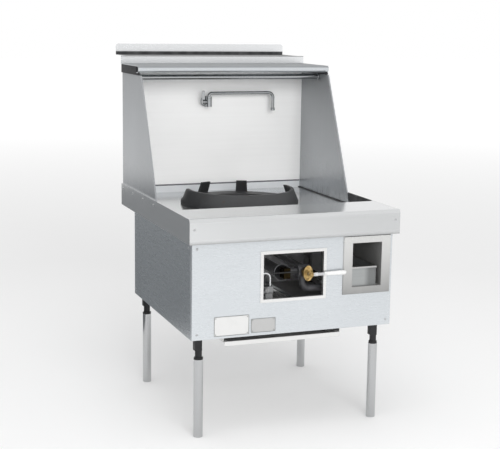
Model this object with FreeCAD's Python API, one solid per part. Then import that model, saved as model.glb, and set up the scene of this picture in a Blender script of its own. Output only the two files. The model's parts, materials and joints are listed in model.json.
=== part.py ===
import FreeCAD, Part
import math
import os
from FreeCAD import Vector

# Wok range with one burner, in millimetres. The front faces -Y, the floor is z = 0 and
# the origin lies on the floor under the middle of the range.

# Sheet and clearances
sheet = 2.0
gap = 0.3
running_gap = 0.1

# Worktop
worktop_width = 900.0
worktop_depth = 1040.0
worktop_height = 900.0
apron_height = 100.0
landing_depth = 230.0
well_depth = 52.0
rim_width = 6.0
nosing_radius = 14.0
well_corner_radius = 25.0

# Splash guards, splashback and shelves
guard_height = 508.0
guard_foot_depth = 572.0
guard_head_depth = 314.0
guard_hem_width = 10.0
guard_hem_thickness = 5.0
splash_lap = 14.0
shelf_depth = 302.0
shelf_height = 40.0
shelf_nose_radius = 15.0
shelf_lip = 20.0
shelf_upstand = 32.0
shelf_cap_thickness = 10.0
rail_diameter = 25.0
rail_wall = 1.5
rail_setback = 205.0
top_shelf_reach = 200.0
top_shelf_inset = 27.0
top_shelf_upstand = 52.0
top_shelf_corner_radius = 14.0
bracket_spacing = 440.0
bracket_thickness = 4.0
bracket_drop = 230.0
bracket_nose = 15.0

# Cabinet and its welded frame
cabinet_inset = 17.0
panel_setback = 26.0
cabinet_overhang = 170.0
panel_return = 20.0
panel_edge_radius = 4.0
panel_top_gap = 6.0
angle_leg = 30.0
angle_wall = 3.0
corner_plate_size = 110.0
corner_plate_thickness = 5.0
bay_floor_setback = 60.0
bay_floor_edge = 12.0
vent_slot_count = 5
vent_slot_length = 160.0
vent_slot_height = 10.0
vent_slot_pitch = 24.0
vent_drop = 120.0

# Control window
window_width = 259.0
window_height = 182.0
window_drop = 59.0
trim_width = 13.0
trim_proud = 3.0
trim_depth = 14.0

# Recess with its waste basket
recess_width = 131.0
recess_height = 182.0
recess_drop = 34.0
recess_edge = 51.0
recess_depth = 300.0
bezel_side = 41.0
bezel_end = 30.0
bezel_proud = 5.0
bezel_chamfer = 3.0
basket_width = 110.0
basket_height = 80.0
basket_length = 268.0
basket_side_gap = 3.0
basket_front_gap = 8.0
basket_lip_height = 9.0
basket_lip_reach = 5.0
basket_hole_radius = 4.0
basket_hole_rows = 3
basket_hole_columns = 7

# Drain of the well
drain_setback = 45.0
drain_radius = 26.0
drain_wall = 2.0
drain_flange = 12.0
drain_entry = 10.0
strainer_rim = 6.0
strainer_depth = 12.0
strainer_hole_radius = 3.0
strainer_hole_circle = 14.0
strainer_hole_count = 8
waste_radius = 20.0
waste_wall = 2.0
waste_flange = 10.0
waste_forward = 105.0
waste_clearance = 11.0

# Burner, drum and wok ring
burner_offset = -10.0
burner_from_rear = 390.0
ring_radius = 262.0
ring_rim_radius = 240.0
ring_bore_radius = 178.0
ring_height = 67.0
ring_base = 14.0
ring_wall = 14.0
ring_front_angle = 200.0
ring_lug_angle = 12.0
ring_lug_spread = 44.0
throat_radius = 172.0
drum_radius = 190.0
drum_wall = 3.0
drum_flange = 15.0
drum_height = 174.0
lining_wall = 21.0
lining_height = 126.0
burner_radius = 105.0
burner_thickness = 28.0
burner_neck_radius = 30.0
burner_port_radius = 4.0
burner_port_depth = 12.0
burner_port_circles = (40.0, 65.0, 90.0)
burner_port_counts = (8, 14, 20)
bar_width = 30.0
bar_thickness = 8.0
bar_spacing = 120.0
venturi_radius = 22.0
venturi_wall = 3.0
venturi_drop = 5.0
venturi_bell_radius = 36.0
venturi_bell_length = 60.0
venturi_socket = 25.0

# Gas valve
valve_from_burner = 72.0
valve_from_window = 62.0
valve_rise = 92.0
valve_depth = 95.0
valve_radius = 26.0
valve_length = 52.0
bonnet_radius = 27.0
bonnet_flats = 44.0
bonnet_hex_length = 20.0
bonnet_front = 30.0
stem_radius = 5.0
stem_engagement = 20.0
lever_front = 8.0
lever_thickness = 5.0
lever_hub_radius = 12.0
lever_width = 12.0
lever_length = 157.0
grip_length = 97.0
grip_width = 19.0
grip_thickness = 11.0
grip_round_share = 0.4
gas_pipe_radius = 13.45
gas_pipe_wall = 2.6
gas_pipe_bend = 30.0
gas_pipe_drop = 76.0
gas_pipe_from_recess = 26.0
gas_pipe_tail = 65.0
gas_thread_radius = 13.2
gas_thread_length = 20.0
injector_width = 28.0
injector_length = 44.0
injector_radius = 8.0
injector_nozzle = 25.0
outlet_radius = 12.0

# Pilot
cock_from_window = 12.0
cock_width = 40.0
cock_height = 26.0
cock_rise = 19.0
cock_back = 22.0
knob_radius = 12.0
knob_length = 11.0
knob_peg_radius = 3.0
knob_peg_length = 12.0
knob_inset = 12.0
pilot_tube_radius = 4.0
pilot_bend = 20.0
pilot_tube_inset = 10.0
pilot_side_run = 70.0
pilot_below_drum = 15.0
pilot_offset = 125.0
pilot_block = 16.0
pilot_nozzle_radius = 5.0
pilot_nozzle_height = 48.0
feed_radius = 3.0
feed_offset = 19.0
feed_inset = 10.0
cock_back_wall = 8.0
cock_bracket_width = 30.0
cock_bracket_wall = 3.0

# Drip tray
tray_width = 500.0
tray_offset = -45.0
tray_height = 18.0
tray_finger_gap = 15.0
tray_length = 740.0
tray_flange = 14.0
runner_web_gap = 1.0
runner_flange = 12.0
runner_front = 6.0

# Tap and water pipe
tap_offset = -45.0
tap_below_guard = 136.0
tap_reach = 47.0
tap_flange_radius = 26.0
tap_flange_thickness = 8.0
tap_barrel_radius = 12.0
tap_post_radius = 14.0
tap_post_rise = 16.0
tap_post_drop = 22.0
swivel_radius = 8.0
swivel_depth = 14.0
spout_radius = 7.5
spout_wall = 1.2
spout_collar = 8.0
spout_rise = 16.0
spout_reach = 320.0
spout_bend = 24.0
spout_neck_bend = 14.0
spout_drop = 70.0
nozzle_radius = 10.0
nozzle_length = 14.0
handle_boss = 20.0
handle_boss_radius = 9.0
handle_hub_radius = 11.0
handle_hub_length = 12.0
handle_peg_radius = 4.0
handle_peg_length = 10.0
handle_length = 52.0
handle_thickness = 6.0
handle_round_share = 0.8
water_pipe_radius = 7.5
water_pipe_wall = 1.0
water_pipe_bend = 20.0
water_pipe_behind = 22.0
water_pipe_drop = 40.0
water_thread_radius = 10.4
water_thread_length = 22.0
tail_radius = 7.0
clip_width = 32.0
clip_height = 14.0
clip_wall = 4.0
clip_rises = (120.0, 270.0)

# Legs
leg_inset = 65.0
leg_front = 82.0
leg_rear = 200.0
tube_radius = 19.0
tube_wall = 1.5
tube_height = 322.0
tube_plug = 60.0
tube_foot = 8.0
stem_post_radius = 14.0
stem_engaged = 50.0
stem_shown = 37.0
socket_size = 29.0
socket_height = 55.0
socket_shift = 4.0
locknut_flats = 34.0
locknut_height = 8.0

# Screws
screw_head_radius = 5.0
screw_head_height = 2.0
screw_dome_share = 0.7
screw_shank_radius = 2.4
screw_hole_radius = 2.5
guard_screw_drop = 21.0
guard_screw_inset = 28.0
guard_screw_count = 4
fascia_screw_inset = 20.0
fascia_screw_drop = 41.0
panel_screw_inset = 22.0

# Levels
cabinet_bottom = tube_height + stem_shown + socket_height
top_z = worktop_height
apron_z = top_z - apron_height
well_z = top_z - well_depth
under_z = well_z - sheet
guard_z = top_z + guard_height
shelf_z = guard_z + shelf_height
shelf_under_z = shelf_z - sheet
top_shelf_z = shelf_z + shelf_upstand
drum_z = under_z - drum_height
bar_z = drum_z - bar_thickness
venturi_z = bar_z - venturi_drop - venturi_radius
pilot_z = drum_z - pilot_below_drum
window_top = apron_z - window_drop
window_bottom = window_top - window_height
recess_top = apron_z - recess_drop
recess_bottom = recess_top - recess_height
valve_z = window_bottom + valve_rise
gas_pipe_z = valve_z - gas_pipe_drop
tap_z = guard_z - tap_below_guard
tray_top = cabinet_bottom - tray_finger_gap

# Depths, from the fascia's screw heads at the front to the top shelf's upstand at the rear
front_y = (screw_head_height - worktop_depth - top_shelf_reach) / 2
rear_y = front_y + worktop_depth
well_front = front_y + landing_depth
well_back = rear_y - rim_width
panel_y = front_y + panel_setback
panel_back = panel_y + sheet
cabinet_rear = rear_y - cabinet_overhang
shelf_front = rear_y - shelf_depth
burner_y = rear_y - burner_from_rear
valve_y = front_y + valve_depth
splash_y = well_back - sheet
tap_y = splash_y - tap_reach
cock_y = panel_back + cock_back
feed_y = valve_y - feed_offset
cock_rear = feed_y + cock_back_wall
pilot_tube_y = cock_y + pilot_tube_inset
top_shelf_back = rear_y + top_shelf_reach

# Widths, from the middle
half_width = worktop_width / 2
well_half = half_width - rim_width
guard_inner = well_half - sheet
cabinet_half = half_width - cabinet_inset
inner_half = cabinet_half - sheet
recess_right = cabinet_half - recess_edge
recess_left = recess_right - recess_width
valve_x = burner_offset + valve_from_burner
window_right = valve_x + valve_from_window
window_left = window_right - window_width
gas_pipe_x = recess_left - gas_pipe_from_recess
cock_left = window_left + cock_from_window
knob_x = cock_left + knob_inset
pilot_tube_x = cock_left + cock_width - pilot_tube_inset
feed_x = cock_left + feed_inset
pilot_side_x = window_left - pilot_side_run
basket_left = recess_left + basket_side_gap
drain_x = basket_left + basket_width / 2
drain_y = well_front + drain_setback

X = Vector(1, 0, 0)
Y = Vector(0, 1, 0)
Z = Vector(0, 0, 1)
full_turn = 360.0
hex_sides = 6
cut_margin = 5.0
parallel_limit = 1e-6


def block(x0, x1, y0, y1, z0, z1):
    return Part.makeBox(x1 - x0, y1 - y0, z1 - z0, Vector(x0, y0, z0))


def rod(start, end, radius):
    return Part.makeCylinder(radius, (end - start).Length, start, end - start)


def pipe(start, end, radius, bore):
    return rod(start, end, radius).cut(rod(start, end, bore))


def prism(points, run):
    return Part.Face(Part.makePolygon(points + points[:1])).extrude(run)


def joined(shapes):
    solid = shapes[0].multiFuse(shapes[1:])
    return solid.removeSplitter()


def group(shapes):
    return Part.makeCompound(shapes)


def both_sides(shape):
    return [shape, shape.mirror(Vector(0, 0, 0), X)]


def edges_along(shape, axis, keep):
    """Straight edges of a shape along an axis whose middle passes a test."""
    found = []
    for edge in shape.Edges:
        run = edge.Vertexes[-1].Point - edge.Vertexes[0].Point
        if run.Length > 0 and run.cross(axis).Length < parallel_limit and keep(edge.CenterOfMass):
            found.append(edge)
    return found


def edges_round(shape, y):
    """Circular edges that lie at one depth."""
    return [edge for edge in shape.Edges
            if isinstance(edge.Curve, Part.Circle) and abs(edge.CenterOfMass.y - y) < gap]


def bent_rod(points, bend, radius):
    """Round bar along straight runs joined by tangent arcs."""
    edges = []
    start = points[0]
    for before, corner, after in zip(points, points[1:], points[2:]):
        inward = (before - corner).normalize()
        outward = (after - corner).normalize()
        half_angle = inward.getAngle(outward) / 2
        reach = bend / math.tan(half_angle)
        first = corner + inward * reach
        last = corner + outward * reach
        bisector = (inward + outward).normalize()
        middle = corner + bisector * (bend / math.sin(half_angle) - bend)
        edges.append(Part.LineSegment(start, first).toShape())
        edges.append(Part.Arc(first, middle, last).toShape())
        start = last
    edges.append(Part.LineSegment(start, points[-1]).toShape())
    section = Part.Wire(Part.Circle(points[0], points[1] - points[0], radius).toShape())
    return Part.Wire(edges).makePipeShell([section], True, False)


def bent_pipe(points, bend, radius, wall):
    return bent_rod(points, bend, radius).cut(bent_rod(points, bend, radius - wall))


def hex_bar(centre, across_flats, run):
    """Hexagonal bar standing on a point, with its flats square to the run."""
    side = X if run.cross(X).Length > 0 else Y
    across = run.cross(side).normalize()
    corner_radius = across_flats / math.sqrt(3)
    points = []
    for step in range(hex_sides):
        angle = 2 * math.pi * step / hex_sides
        points.append(centre + side * (corner_radius * math.cos(angle))
                      + across * (corner_radius * math.sin(angle)))
    return prism(points, run)


def framed_opening(x0, x1, z0, z1, side, end, y0, y1):
    """Rectangular frame round an opening in the front."""
    outer = block(x0 - side, x1 + side, y0, y1, z0 - end, z1 + end)
    return outer.cut(block(x0, x1, y0 - cut_margin, y1 + cut_margin, z0, z1))


def screw(seat, outward, depth):
    """Low dome-headed screw seated on a face, its shank as deep as the sheet."""
    shank = rod(seat - outward * depth, seat, screw_shank_radius)
    head = rod(seat, seat + outward * screw_head_height, screw_head_radius)
    rim = [edge for edge in head.Edges
           if (edge.CenterOfMass - seat).dot(outward) > screw_head_height / 2
           and isinstance(edge.Curve, Part.Circle)]
    head = head.makeFillet(screw_head_height * screw_dome_share, rim)
    return head.fuse(shank)


def screw_hole(seat, outward, depth):
    return rod(seat - outward * (depth + gap), seat + outward * gap, screw_hole_radius)


def guard_front(z):
    """Depth of the guard's sloping front edge at a height."""
    foot = well_back - guard_foot_depth
    head = well_back - guard_head_depth
    return foot + (head - foot) * (z - well_z) / (guard_z - well_z)


def worktop_screw_seats():
    """Seats of the screws through the apron, with the way that each one faces."""
    z = top_z - guard_screw_drop
    first = guard_front(z) + guard_screw_inset
    last = well_back - guard_screw_inset
    seats = []
    for step in range(guard_screw_count):
        y = first + (last - first) * step / (guard_screw_count - 1)
        seats.append((Vector(half_width, y, z), X))
        seats.append((Vector(-half_width, y, z), -X))
    for x in (-half_width + fascia_screw_inset, half_width - fascia_screw_inset):
        seats.append((Vector(x, front_y, top_z - fascia_screw_drop), -Y))
    return seats


def panel_screw_seats():
    low = cabinet_bottom + panel_screw_inset
    edge = cabinet_half - panel_screw_inset
    high = apron_z - panel_screw_inset
    seats = [(Vector(x, panel_y, low), -Y) for x in (-edge, edge)]
    seats.append((Vector(-edge, panel_y, high), -Y))
    for y in (panel_y + panel_return + panel_screw_inset, cabinet_rear - panel_screw_inset):
        for z in (low, high):
            seats.append((Vector(cabinet_half, y, z), X))
            seats.append((Vector(-cabinet_half, y, z), -X))
    for x in (-edge, edge):
        for z in (low, high):
            seats.append((Vector(x, cabinet_rear, z), Y))
    return seats


def drill(shape, seats):
    for seat, outward in seats:
        shape = shape.cut(screw_hole(seat, outward, sheet))
    return shape


def make_worktop():
    outer = block(-half_width, half_width, front_y, rear_y, apron_z, top_z)
    outer = outer.makeFillet(nosing_radius, edges_along(
        outer, X, lambda p: p.y < front_y + sheet and p.z > top_z - sheet))
    inner = block(-half_width + sheet, half_width - sheet, front_y + sheet, rear_y - sheet,
                  apron_z - cut_margin, top_z - sheet)
    inner = inner.makeFillet(nosing_radius - sheet, edges_along(
        inner, X, lambda p: p.y < front_y + 2 * sheet and p.z > top_z - 2 * sheet))
    tub = block(-well_half - sheet, well_half + sheet, well_front - sheet, well_back + sheet,
                under_z, top_z)
    tub = tub.makeFillet(well_corner_radius + sheet, edges_along(
        tub, Z, lambda p: p.y < well_front))
    hollow = block(-well_half, well_half, well_front, well_back, well_z, top_z + cut_margin)
    hollow = hollow.makeFillet(well_corner_radius, edges_along(
        hollow, Z, lambda p: p.y < well_front + sheet))
    throat = rod(Vector(burner_offset, burner_y, under_z - cut_margin),
                 Vector(burner_offset, burner_y, top_z), throat_radius)
    drain = rod(Vector(drain_x, drain_y, under_z - cut_margin),
                Vector(drain_x, drain_y, top_z), drain_radius)
    top = joined([outer.cut(inner), tub]).cut(hollow).cut(throat).cut(drain)
    return drill(top, worktop_screw_seats())


def make_right_guard():
    outline = [(guard_front(well_z), well_z), (well_back, well_z),
               (well_back, guard_z), (guard_front(guard_z), guard_z)]
    plate = prism([Vector(guard_inner, y, z) for y, z in outline], X * sheet)
    hem_outline = [(guard_front(z) + shift, z) for z, shift in
                   ((well_z, 0), (well_z, guard_hem_width), (guard_z, guard_hem_width), (guard_z, 0))]
    hem_inner = well_half - guard_hem_thickness
    hem = prism([Vector(hem_inner, y, z) for y, z in hem_outline], X * guard_hem_thickness)
    return joined([plate, hem])


def make_splashback():
    panel = block(-guard_inner, guard_inner, splash_y, well_back, top_z - splash_lap, shelf_under_z)
    inlet = rod(Vector(tap_offset, splash_y - cut_margin, tap_z),
                Vector(tap_offset, well_back + cut_margin, tap_z), tail_radius + gap)
    return panel.cut(inlet)


def make_condiment_shelf():
    nose_y = shelf_front + shelf_nose_radius
    nose_z = shelf_z - shelf_nose_radius
    nose_low = nose_z - shelf_nose_radius
    roll = pipe(Vector(-half_width, nose_y, nose_z), Vector(half_width, nose_y, nose_z),
                shelf_nose_radius, shelf_nose_radius - sheet)
    roll = roll.common(block(-half_width, half_width, shelf_front, nose_y, nose_low, shelf_z))
    plate = block(-half_width, half_width, nose_y, rear_y, shelf_under_z, shelf_z)
    lip = block(-half_width, half_width, nose_y, nose_y + shelf_lip, nose_low, nose_low + sheet)
    upstand = block(-half_width, half_width, rear_y - sheet, rear_y, shelf_z, top_shelf_z)
    return joined([plate, roll, lip, upstand])


def make_right_shelf_cap():
    start = shelf_front + shelf_nose_radius + shelf_lip + sheet
    return block(half_width - shelf_cap_thickness, half_width, start, splash_y, guard_z, shelf_under_z)


def make_utensil_rail():
    y = rear_y - rail_setback
    z = guard_z - rail_diameter / 2
    radius = rail_diameter / 2
    return pipe(Vector(-guard_inner, y, z), Vector(guard_inner, y, z), radius, radius - rail_wall)


def make_top_shelf():
    half = half_width - top_shelf_inset
    lip_y = rear_y - 2 * sheet
    plate_top = top_shelf_z + sheet
    upstand_top = top_shelf_z + top_shelf_upstand
    lip = block(-half_width, half_width, lip_y, lip_y + sheet, shelf_z, plate_top)
    plate = block(-half, half, lip_y, top_shelf_back, top_shelf_z, plate_top)
    upstand = block(-half, half, top_shelf_back - sheet, top_shelf_back, top_shelf_z, upstand_top)
    upstand = upstand.makeFillet(top_shelf_corner_radius, edges_along(
        upstand, Y, lambda p: p.z > upstand_top - sheet))
    return joined([plate, lip, upstand])


def make_shelf_brackets():
    tip = top_shelf_back - 2 * bracket_nose
    outline = [(well_back, top_shelf_z - bracket_drop), (well_back, shelf_under_z),
               (rear_y, shelf_under_z), (rear_y, top_shelf_z), (tip, top_shelf_z),
               (tip, top_shelf_z - bracket_nose)]
    near = bracket_spacing / 2 - bracket_thickness / 2
    bracket = prism([Vector(near, y, z) for y, z in outline], X * bracket_thickness)
    return group(both_sides(bracket))


def angle_post(x_edge, y_edge, x_way, y_way, z0, z1):
    """Upright steel angle whose outer corner is given, with the ways that its legs point."""
    ends = [(x_edge, y_edge), (x_edge + x_way * angle_leg, y_edge),
            (x_edge + x_way * angle_leg, y_edge + y_way * angle_wall),
            (x_edge + x_way * angle_wall, y_edge + y_way * angle_wall),
            (x_edge + x_way * angle_wall, y_edge + y_way * angle_leg),
            (x_edge, y_edge + y_way * angle_leg)]
    return prism([Vector(x, y, z0) for x, y in ends], Z * (z1 - z0))


def make_base_frame():
    front = panel_back
    rear = cabinet_rear - sheet
    plate_top = cabinet_bottom + corner_plate_thickness
    rail_low = under_z - angle_leg
    rail_top = cabinet_bottom + angle_leg
    plate_x = inner_half - corner_plate_size
    post_x = inner_half - angle_leg
    bars = []
    for y0, y1 in ((front, front + corner_plate_size), (rear - corner_plate_size, rear)):
        bars += both_sides(block(plate_x, inner_half, y0, y1, cabinet_bottom, plate_top))
    for y_edge, y_way in ((front, 1), (rear, -1)):
        bars += both_sides(angle_post(inner_half, y_edge, -1, y_way, plate_top, under_z))
        near, far = sorted((y_edge, y_edge + y_way * angle_wall))
        bars.append(block(-post_x, post_x, near, far, rail_low, under_z))
        outline = [(y_edge, cabinet_bottom), (y_edge + y_way * angle_leg, cabinet_bottom),
                   (y_edge + y_way * angle_leg, cabinet_bottom + angle_wall),
                   (y_edge + y_way * angle_wall, cabinet_bottom + angle_wall),
                   (y_edge + y_way * angle_wall, rail_top), (y_edge, rail_top)]
        bars.append(prism([Vector(-plate_x, y, z) for y, z in outline], X * (2 * plate_x)))
    inside = inner_half - angle_wall
    bars += both_sides(block(inside, inner_half, front + corner_plate_size, rear - corner_plate_size,
                             cabinet_bottom, rail_top))
    bars += both_sides(block(inside, inner_half, front + angle_leg, rear - angle_leg, rail_low, under_z))
    return group(bars)


def make_bay_floors():
    base = cabinet_bottom + corner_plate_thickness
    edge_top = base + bay_floor_edge
    front = waste_seat().y + bay_floor_setback
    rear = cabinet_rear - sheet - angle_wall - gap
    outer = inner_half - angle_wall - gap
    post_x = inner_half - angle_leg - gap
    post_y = cabinet_rear - sheet - angle_leg - gap
    post = block(post_x, inner_half, post_y, cabinet_rear, base - cut_margin, edge_top)
    floors = []
    for index, offset in enumerate((tray_offset, -tray_offset)):
        inner = tray_width / 2 + offset
        floor = joined([block(inner, outer, front, rear, base, base + sheet),
                        block(inner, inner + sheet, front, rear, base, edge_top),
                        block(inner, outer, front, front + sheet, base, edge_top)])
        floors.append(both_sides(floor.cut(post))[index])
    return group(floors)


def make_front_panel():
    top = top_z - sheet - panel_top_gap
    back = panel_y + panel_return
    outer = block(-cabinet_half, cabinet_half, panel_y, back, cabinet_bottom, top)
    outer = outer.makeFillet(panel_edge_radius, edges_along(outer, Z, lambda p: p.y < panel_back))
    inner = block(-inner_half, inner_half, panel_back, back + cut_margin,
                  cabinet_bottom - cut_margin, top + cut_margin)
    fold = sheet + gap
    window = block(window_left - fold, window_right + fold, panel_y - cut_margin,
                   panel_back + cut_margin, window_bottom - fold, window_top + fold)
    recess = block(recess_left - fold, recess_right + fold, panel_y - cut_margin,
                   panel_back + cut_margin, recess_bottom - fold, recess_top + fold)
    return drill(outer.cut(inner).cut(window).cut(recess), panel_screw_seats())


def make_right_side_panel():
    panel = block(inner_half, cabinet_half, panel_y + panel_return, cabinet_rear, cabinet_bottom, under_z)
    return drill(panel, panel_screw_seats())


def make_rear_panel():
    panel = block(-inner_half, inner_half, cabinet_rear - sheet, cabinet_rear, cabinet_bottom, under_z)
    hole = rod(Vector(gas_pipe_x, cabinet_rear - 2 * sheet, gas_pipe_z),
               Vector(gas_pipe_x, cabinet_rear + sheet, gas_pipe_z), gas_pipe_radius + gap)
    panel = panel.cut(hole)
    for step in range(vent_slot_count):
        z = under_z - vent_drop - step * vent_slot_pitch
        for x0 in (-inner_half / 2 - vent_slot_length / 2, inner_half / 2 - vent_slot_length / 2):
            panel = panel.cut(block(x0, x0 + vent_slot_length, cabinet_rear - 2 * sheet,
                                    cabinet_rear + sheet, z, z + vent_slot_height))
    return drill(panel, panel_screw_seats())


def make_window_trim():
    face = framed_opening(window_left, window_right, window_bottom, window_top,
                          trim_width, trim_width, panel_y - trim_proud, panel_y)
    fold = framed_opening(window_left, window_right, window_bottom, window_top,
                          sheet, sheet, panel_y, panel_y + trim_depth)
    return joined([face, fold])


def make_recess_bezel():
    front = panel_y - bezel_proud
    bezel = framed_opening(recess_left, recess_right, recess_bottom, recess_top,
                           bezel_side, bezel_end, front, panel_y)
    outer_edges = [edge for axis in (X, Z) for edge in edges_along(
        bezel, axis, lambda p: p.y < front + sheet and (
            p.x < recess_left - sheet or p.x > recess_right + sheet
            or p.z < recess_bottom - sheet or p.z > recess_top + sheet))]
    return bezel.makeChamfer(bezel_chamfer, outer_edges)


def waste_seat():
    return Vector(drain_x, drain_y - waste_forward, recess_bottom - sheet)


def make_recess_liner():
    back = panel_y + recess_depth
    shell = block(recess_left - sheet, recess_right + sheet, panel_y, back + sheet,
                  recess_bottom - sheet, recess_top + sheet)
    hollow = block(recess_left, recess_right, panel_y - cut_margin, back, recess_bottom, recess_top)
    inlet = rod(Vector(drain_x, drain_y, recess_top - sheet),
                Vector(drain_x, drain_y, recess_top + 2 * sheet), drain_radius + drain_wall + gap)
    outlet = rod(waste_seat() - Z * sheet, waste_seat() + Z * (2 * sheet), waste_radius - waste_wall)
    return shell.cut(hollow).cut(inlet).cut(outlet)


def make_waste_basket():
    x0 = basket_left
    x1 = basket_left + basket_width
    y0 = panel_y + basket_front_gap
    y1 = y0 + basket_length
    z0 = recess_bottom + gap
    z1 = z0 + basket_height
    shell = block(x0, x1, y0, y1, z0, z1)
    shell = shell.cut(block(x0 + sheet, x1 - sheet, y0 + sheet, y1 - sheet, z0 + sheet, z1 + cut_margin))
    for row in range(basket_hole_rows):
        for column in range(basket_hole_columns):
            x = x0 + basket_width * (row + 1) / (basket_hole_rows + 1)
            y = y0 + basket_length * (column + 1) / (basket_hole_columns + 1)
            shell = shell.cut(rod(Vector(x, y, z0 - sheet), Vector(x, y, z0 + 2 * sheet), basket_hole_radius))
    lip = block(x0, x1, y0 - basket_lip_reach, y0, z1 - basket_lip_height, z1)
    return joined([shell, lip])


def make_drain_spigot():
    seat = Vector(drain_x, drain_y, under_z)
    outer = drain_radius + drain_wall
    flange = pipe(seat - Z * sheet, seat, outer + drain_flange, drain_radius)
    tube = pipe(Vector(drain_x, drain_y, recess_top - drain_entry), seat, outer, drain_radius)
    return joined([flange, tube])


def make_drain_strainer():
    seat = Vector(drain_x, drain_y, well_z)
    cup_radius = drain_radius - 2 * gap
    rim = rod(seat, seat + Z * sheet, drain_radius + strainer_rim)
    cup = rod(seat - Z * strainer_depth, seat, cup_radius)
    solid = joined([rim, cup])
    solid = solid.cut(rod(seat - Z * (strainer_depth - sheet), seat + Z * cut_margin, cup_radius - sheet))
    for step in range(strainer_hole_count):
        angle = 2 * math.pi * step / strainer_hole_count
        centre = seat + Vector(math.cos(angle), math.sin(angle), 0) * strainer_hole_circle
        solid = solid.cut(rod(centre - Z * (strainer_depth + sheet), centre, strainer_hole_radius))
    return solid


def make_waste_spigot():
    seat = waste_seat()
    bore = waste_radius - waste_wall
    end = Vector(seat.x, seat.y, cabinet_bottom + waste_clearance)
    flange = pipe(seat - Z * sheet, seat, waste_radius + waste_flange, bore)
    return joined([flange, pipe(end, seat, waste_radius, bore)])


def burner_axis(z):
    return Vector(burner_offset, burner_y, z)


def cone_sector(angle, start):
    """Stretch of the ring's sloping wall, turned to where it starts."""
    base = well_z + ring_base
    top = well_z + ring_height
    outline = [(ring_radius, base), (ring_rim_radius, top),
               (ring_rim_radius - ring_wall, top), (ring_radius - ring_wall, base)]
    face = Part.Face(Part.makePolygon([Vector(r, 0, z) for r, z in outline + outline[:1]]))
    wall = face.revolve(Vector(0, 0, 0), Z, angle)
    wall.rotate(Vector(0, 0, 0), Z, start)
    wall.translate(Vector(burner_offset, burner_y, 0))
    return wall


def make_wok_ring():
    base = pipe(burner_axis(well_z), burner_axis(well_z + ring_base), ring_radius, ring_bore_radius)
    front_middle = -full_turn / 4
    front = cone_sector(ring_front_angle, front_middle - ring_front_angle / 2)
    lugs = [cone_sector(ring_lug_angle, -front_middle + side * ring_lug_spread / 2 - ring_lug_angle / 2)
            for side in (-1, 1)]
    return joined([base, front] + lugs)


def make_combustion_drum():
    bore = drum_radius - drum_wall
    wall = pipe(burner_axis(drum_z), burner_axis(under_z), drum_radius, bore)
    flange = pipe(burner_axis(under_z - drum_wall), burner_axis(under_z), drum_radius + drum_flange, bore)
    ledge_z = under_z - sheet - lining_height
    ledge = pipe(burner_axis(ledge_z - drum_wall), burner_axis(ledge_z), bore, bore - lining_wall / 2)
    return joined([wall, flange, ledge])


def make_refractory_lining():
    outer = drum_radius - drum_wall - gap
    top = under_z - sheet
    return pipe(burner_axis(top - lining_height), burner_axis(top), outer, outer - lining_wall)


def make_burner_head():
    neck_low = venturi_z - venturi_radius - burner_port_depth / 2
    head = rod(burner_axis(drum_z), burner_axis(drum_z + burner_thickness), burner_radius)
    neck = rod(burner_axis(neck_low), burner_axis(drum_z), burner_neck_radius)
    body = joined([head, neck])
    socket_start = burner_axis(venturi_z) - Y * (burner_neck_radius + cut_margin)
    socket_end = burner_axis(venturi_z) - Y * (burner_neck_radius - venturi_socket)
    body = body.cut(rod(socket_start, socket_end, venturi_radius + gap))
    top = drum_z + burner_thickness
    for circle, count in zip(burner_port_circles, burner_port_counts):
        for step in range(count):
            angle = 2 * math.pi * step / count
            port = burner_axis(top) + Vector(math.cos(angle), math.sin(angle), 0) * circle
            body = body.cut(rod(port - Z * burner_port_depth, port + Z, burner_port_radius))
    return body


def make_burner_bars():
    half = drum_radius
    near = bar_spacing / 2 - bar_width / 2
    bars = []
    for y0 in (burner_y + near, burner_y - near - bar_width):
        bars.append(block(burner_offset - half, burner_offset + half, y0, y0 + bar_width, bar_z, drum_z))
    return group(bars)


def venturi_mouth():
    """Where the mixing tube's bell opens, just ahead of the injector's tip."""
    return valve_y + injector_length - injector_width / 2 + injector_nozzle / 2


def make_burner_venturi():
    mouth = Vector(burner_offset, venturi_mouth(), venturi_z)
    throat = mouth + Y * venturi_bell_length
    end = burner_axis(venturi_z) - Y * (burner_neck_radius - venturi_socket + gap)
    bell = Part.makeCone(venturi_bell_radius, venturi_radius, venturi_bell_length, mouth, Y)
    bell_bore = Part.makeCone(venturi_bell_radius - venturi_wall, venturi_radius - venturi_wall,
                              venturi_bell_length, mouth, Y)
    tube = pipe(throat, end, venturi_radius, venturi_radius - venturi_wall)
    return joined([bell.cut(bell_bore), tube])


def valve_axis(y):
    return Vector(valve_x, y, valve_z)


def make_valve_body():
    centre = valve_axis(valve_y)
    barrel = rod(centre - X * (valve_length / 2), centre + X * (valve_length / 2), valve_radius)
    outlet_end = Vector(burner_offset + injector_width / 2, valve_y, valve_z)
    outlet = rod(outlet_end, centre, outlet_radius)
    inlet = rod(centre - Z * (valve_radius + sheet), centre, gas_pipe_radius + sheet)
    neck = rod(valve_axis(valve_y - valve_radius - sheet), centre, bonnet_flats / 2 - sheet)
    return joined([barrel, outlet, inlet, neck])


def make_valve_bonnet():
    back = valve_y - valve_radius - sheet
    front = front_y + bonnet_front
    hex_part = hex_bar(valve_axis(back), bonnet_flats, -Y * bonnet_hex_length)
    dome_back = valve_axis(back - bonnet_hex_length)
    dome = Part.makeCone(bonnet_radius, bonnet_flats / 2, dome_back.y - front, dome_back, -Y)
    bore = rod(valve_axis(front - gap), valve_axis(front + stem_engagement + gap), stem_radius + running_gap)
    return joined([hex_part, dome]).cut(bore)


def make_valve_stem():
    hub_back = front_y + lever_front + lever_thickness
    return rod(valve_axis(hub_back), valve_axis(front_y + bonnet_front + stem_engagement), stem_radius)


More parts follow.
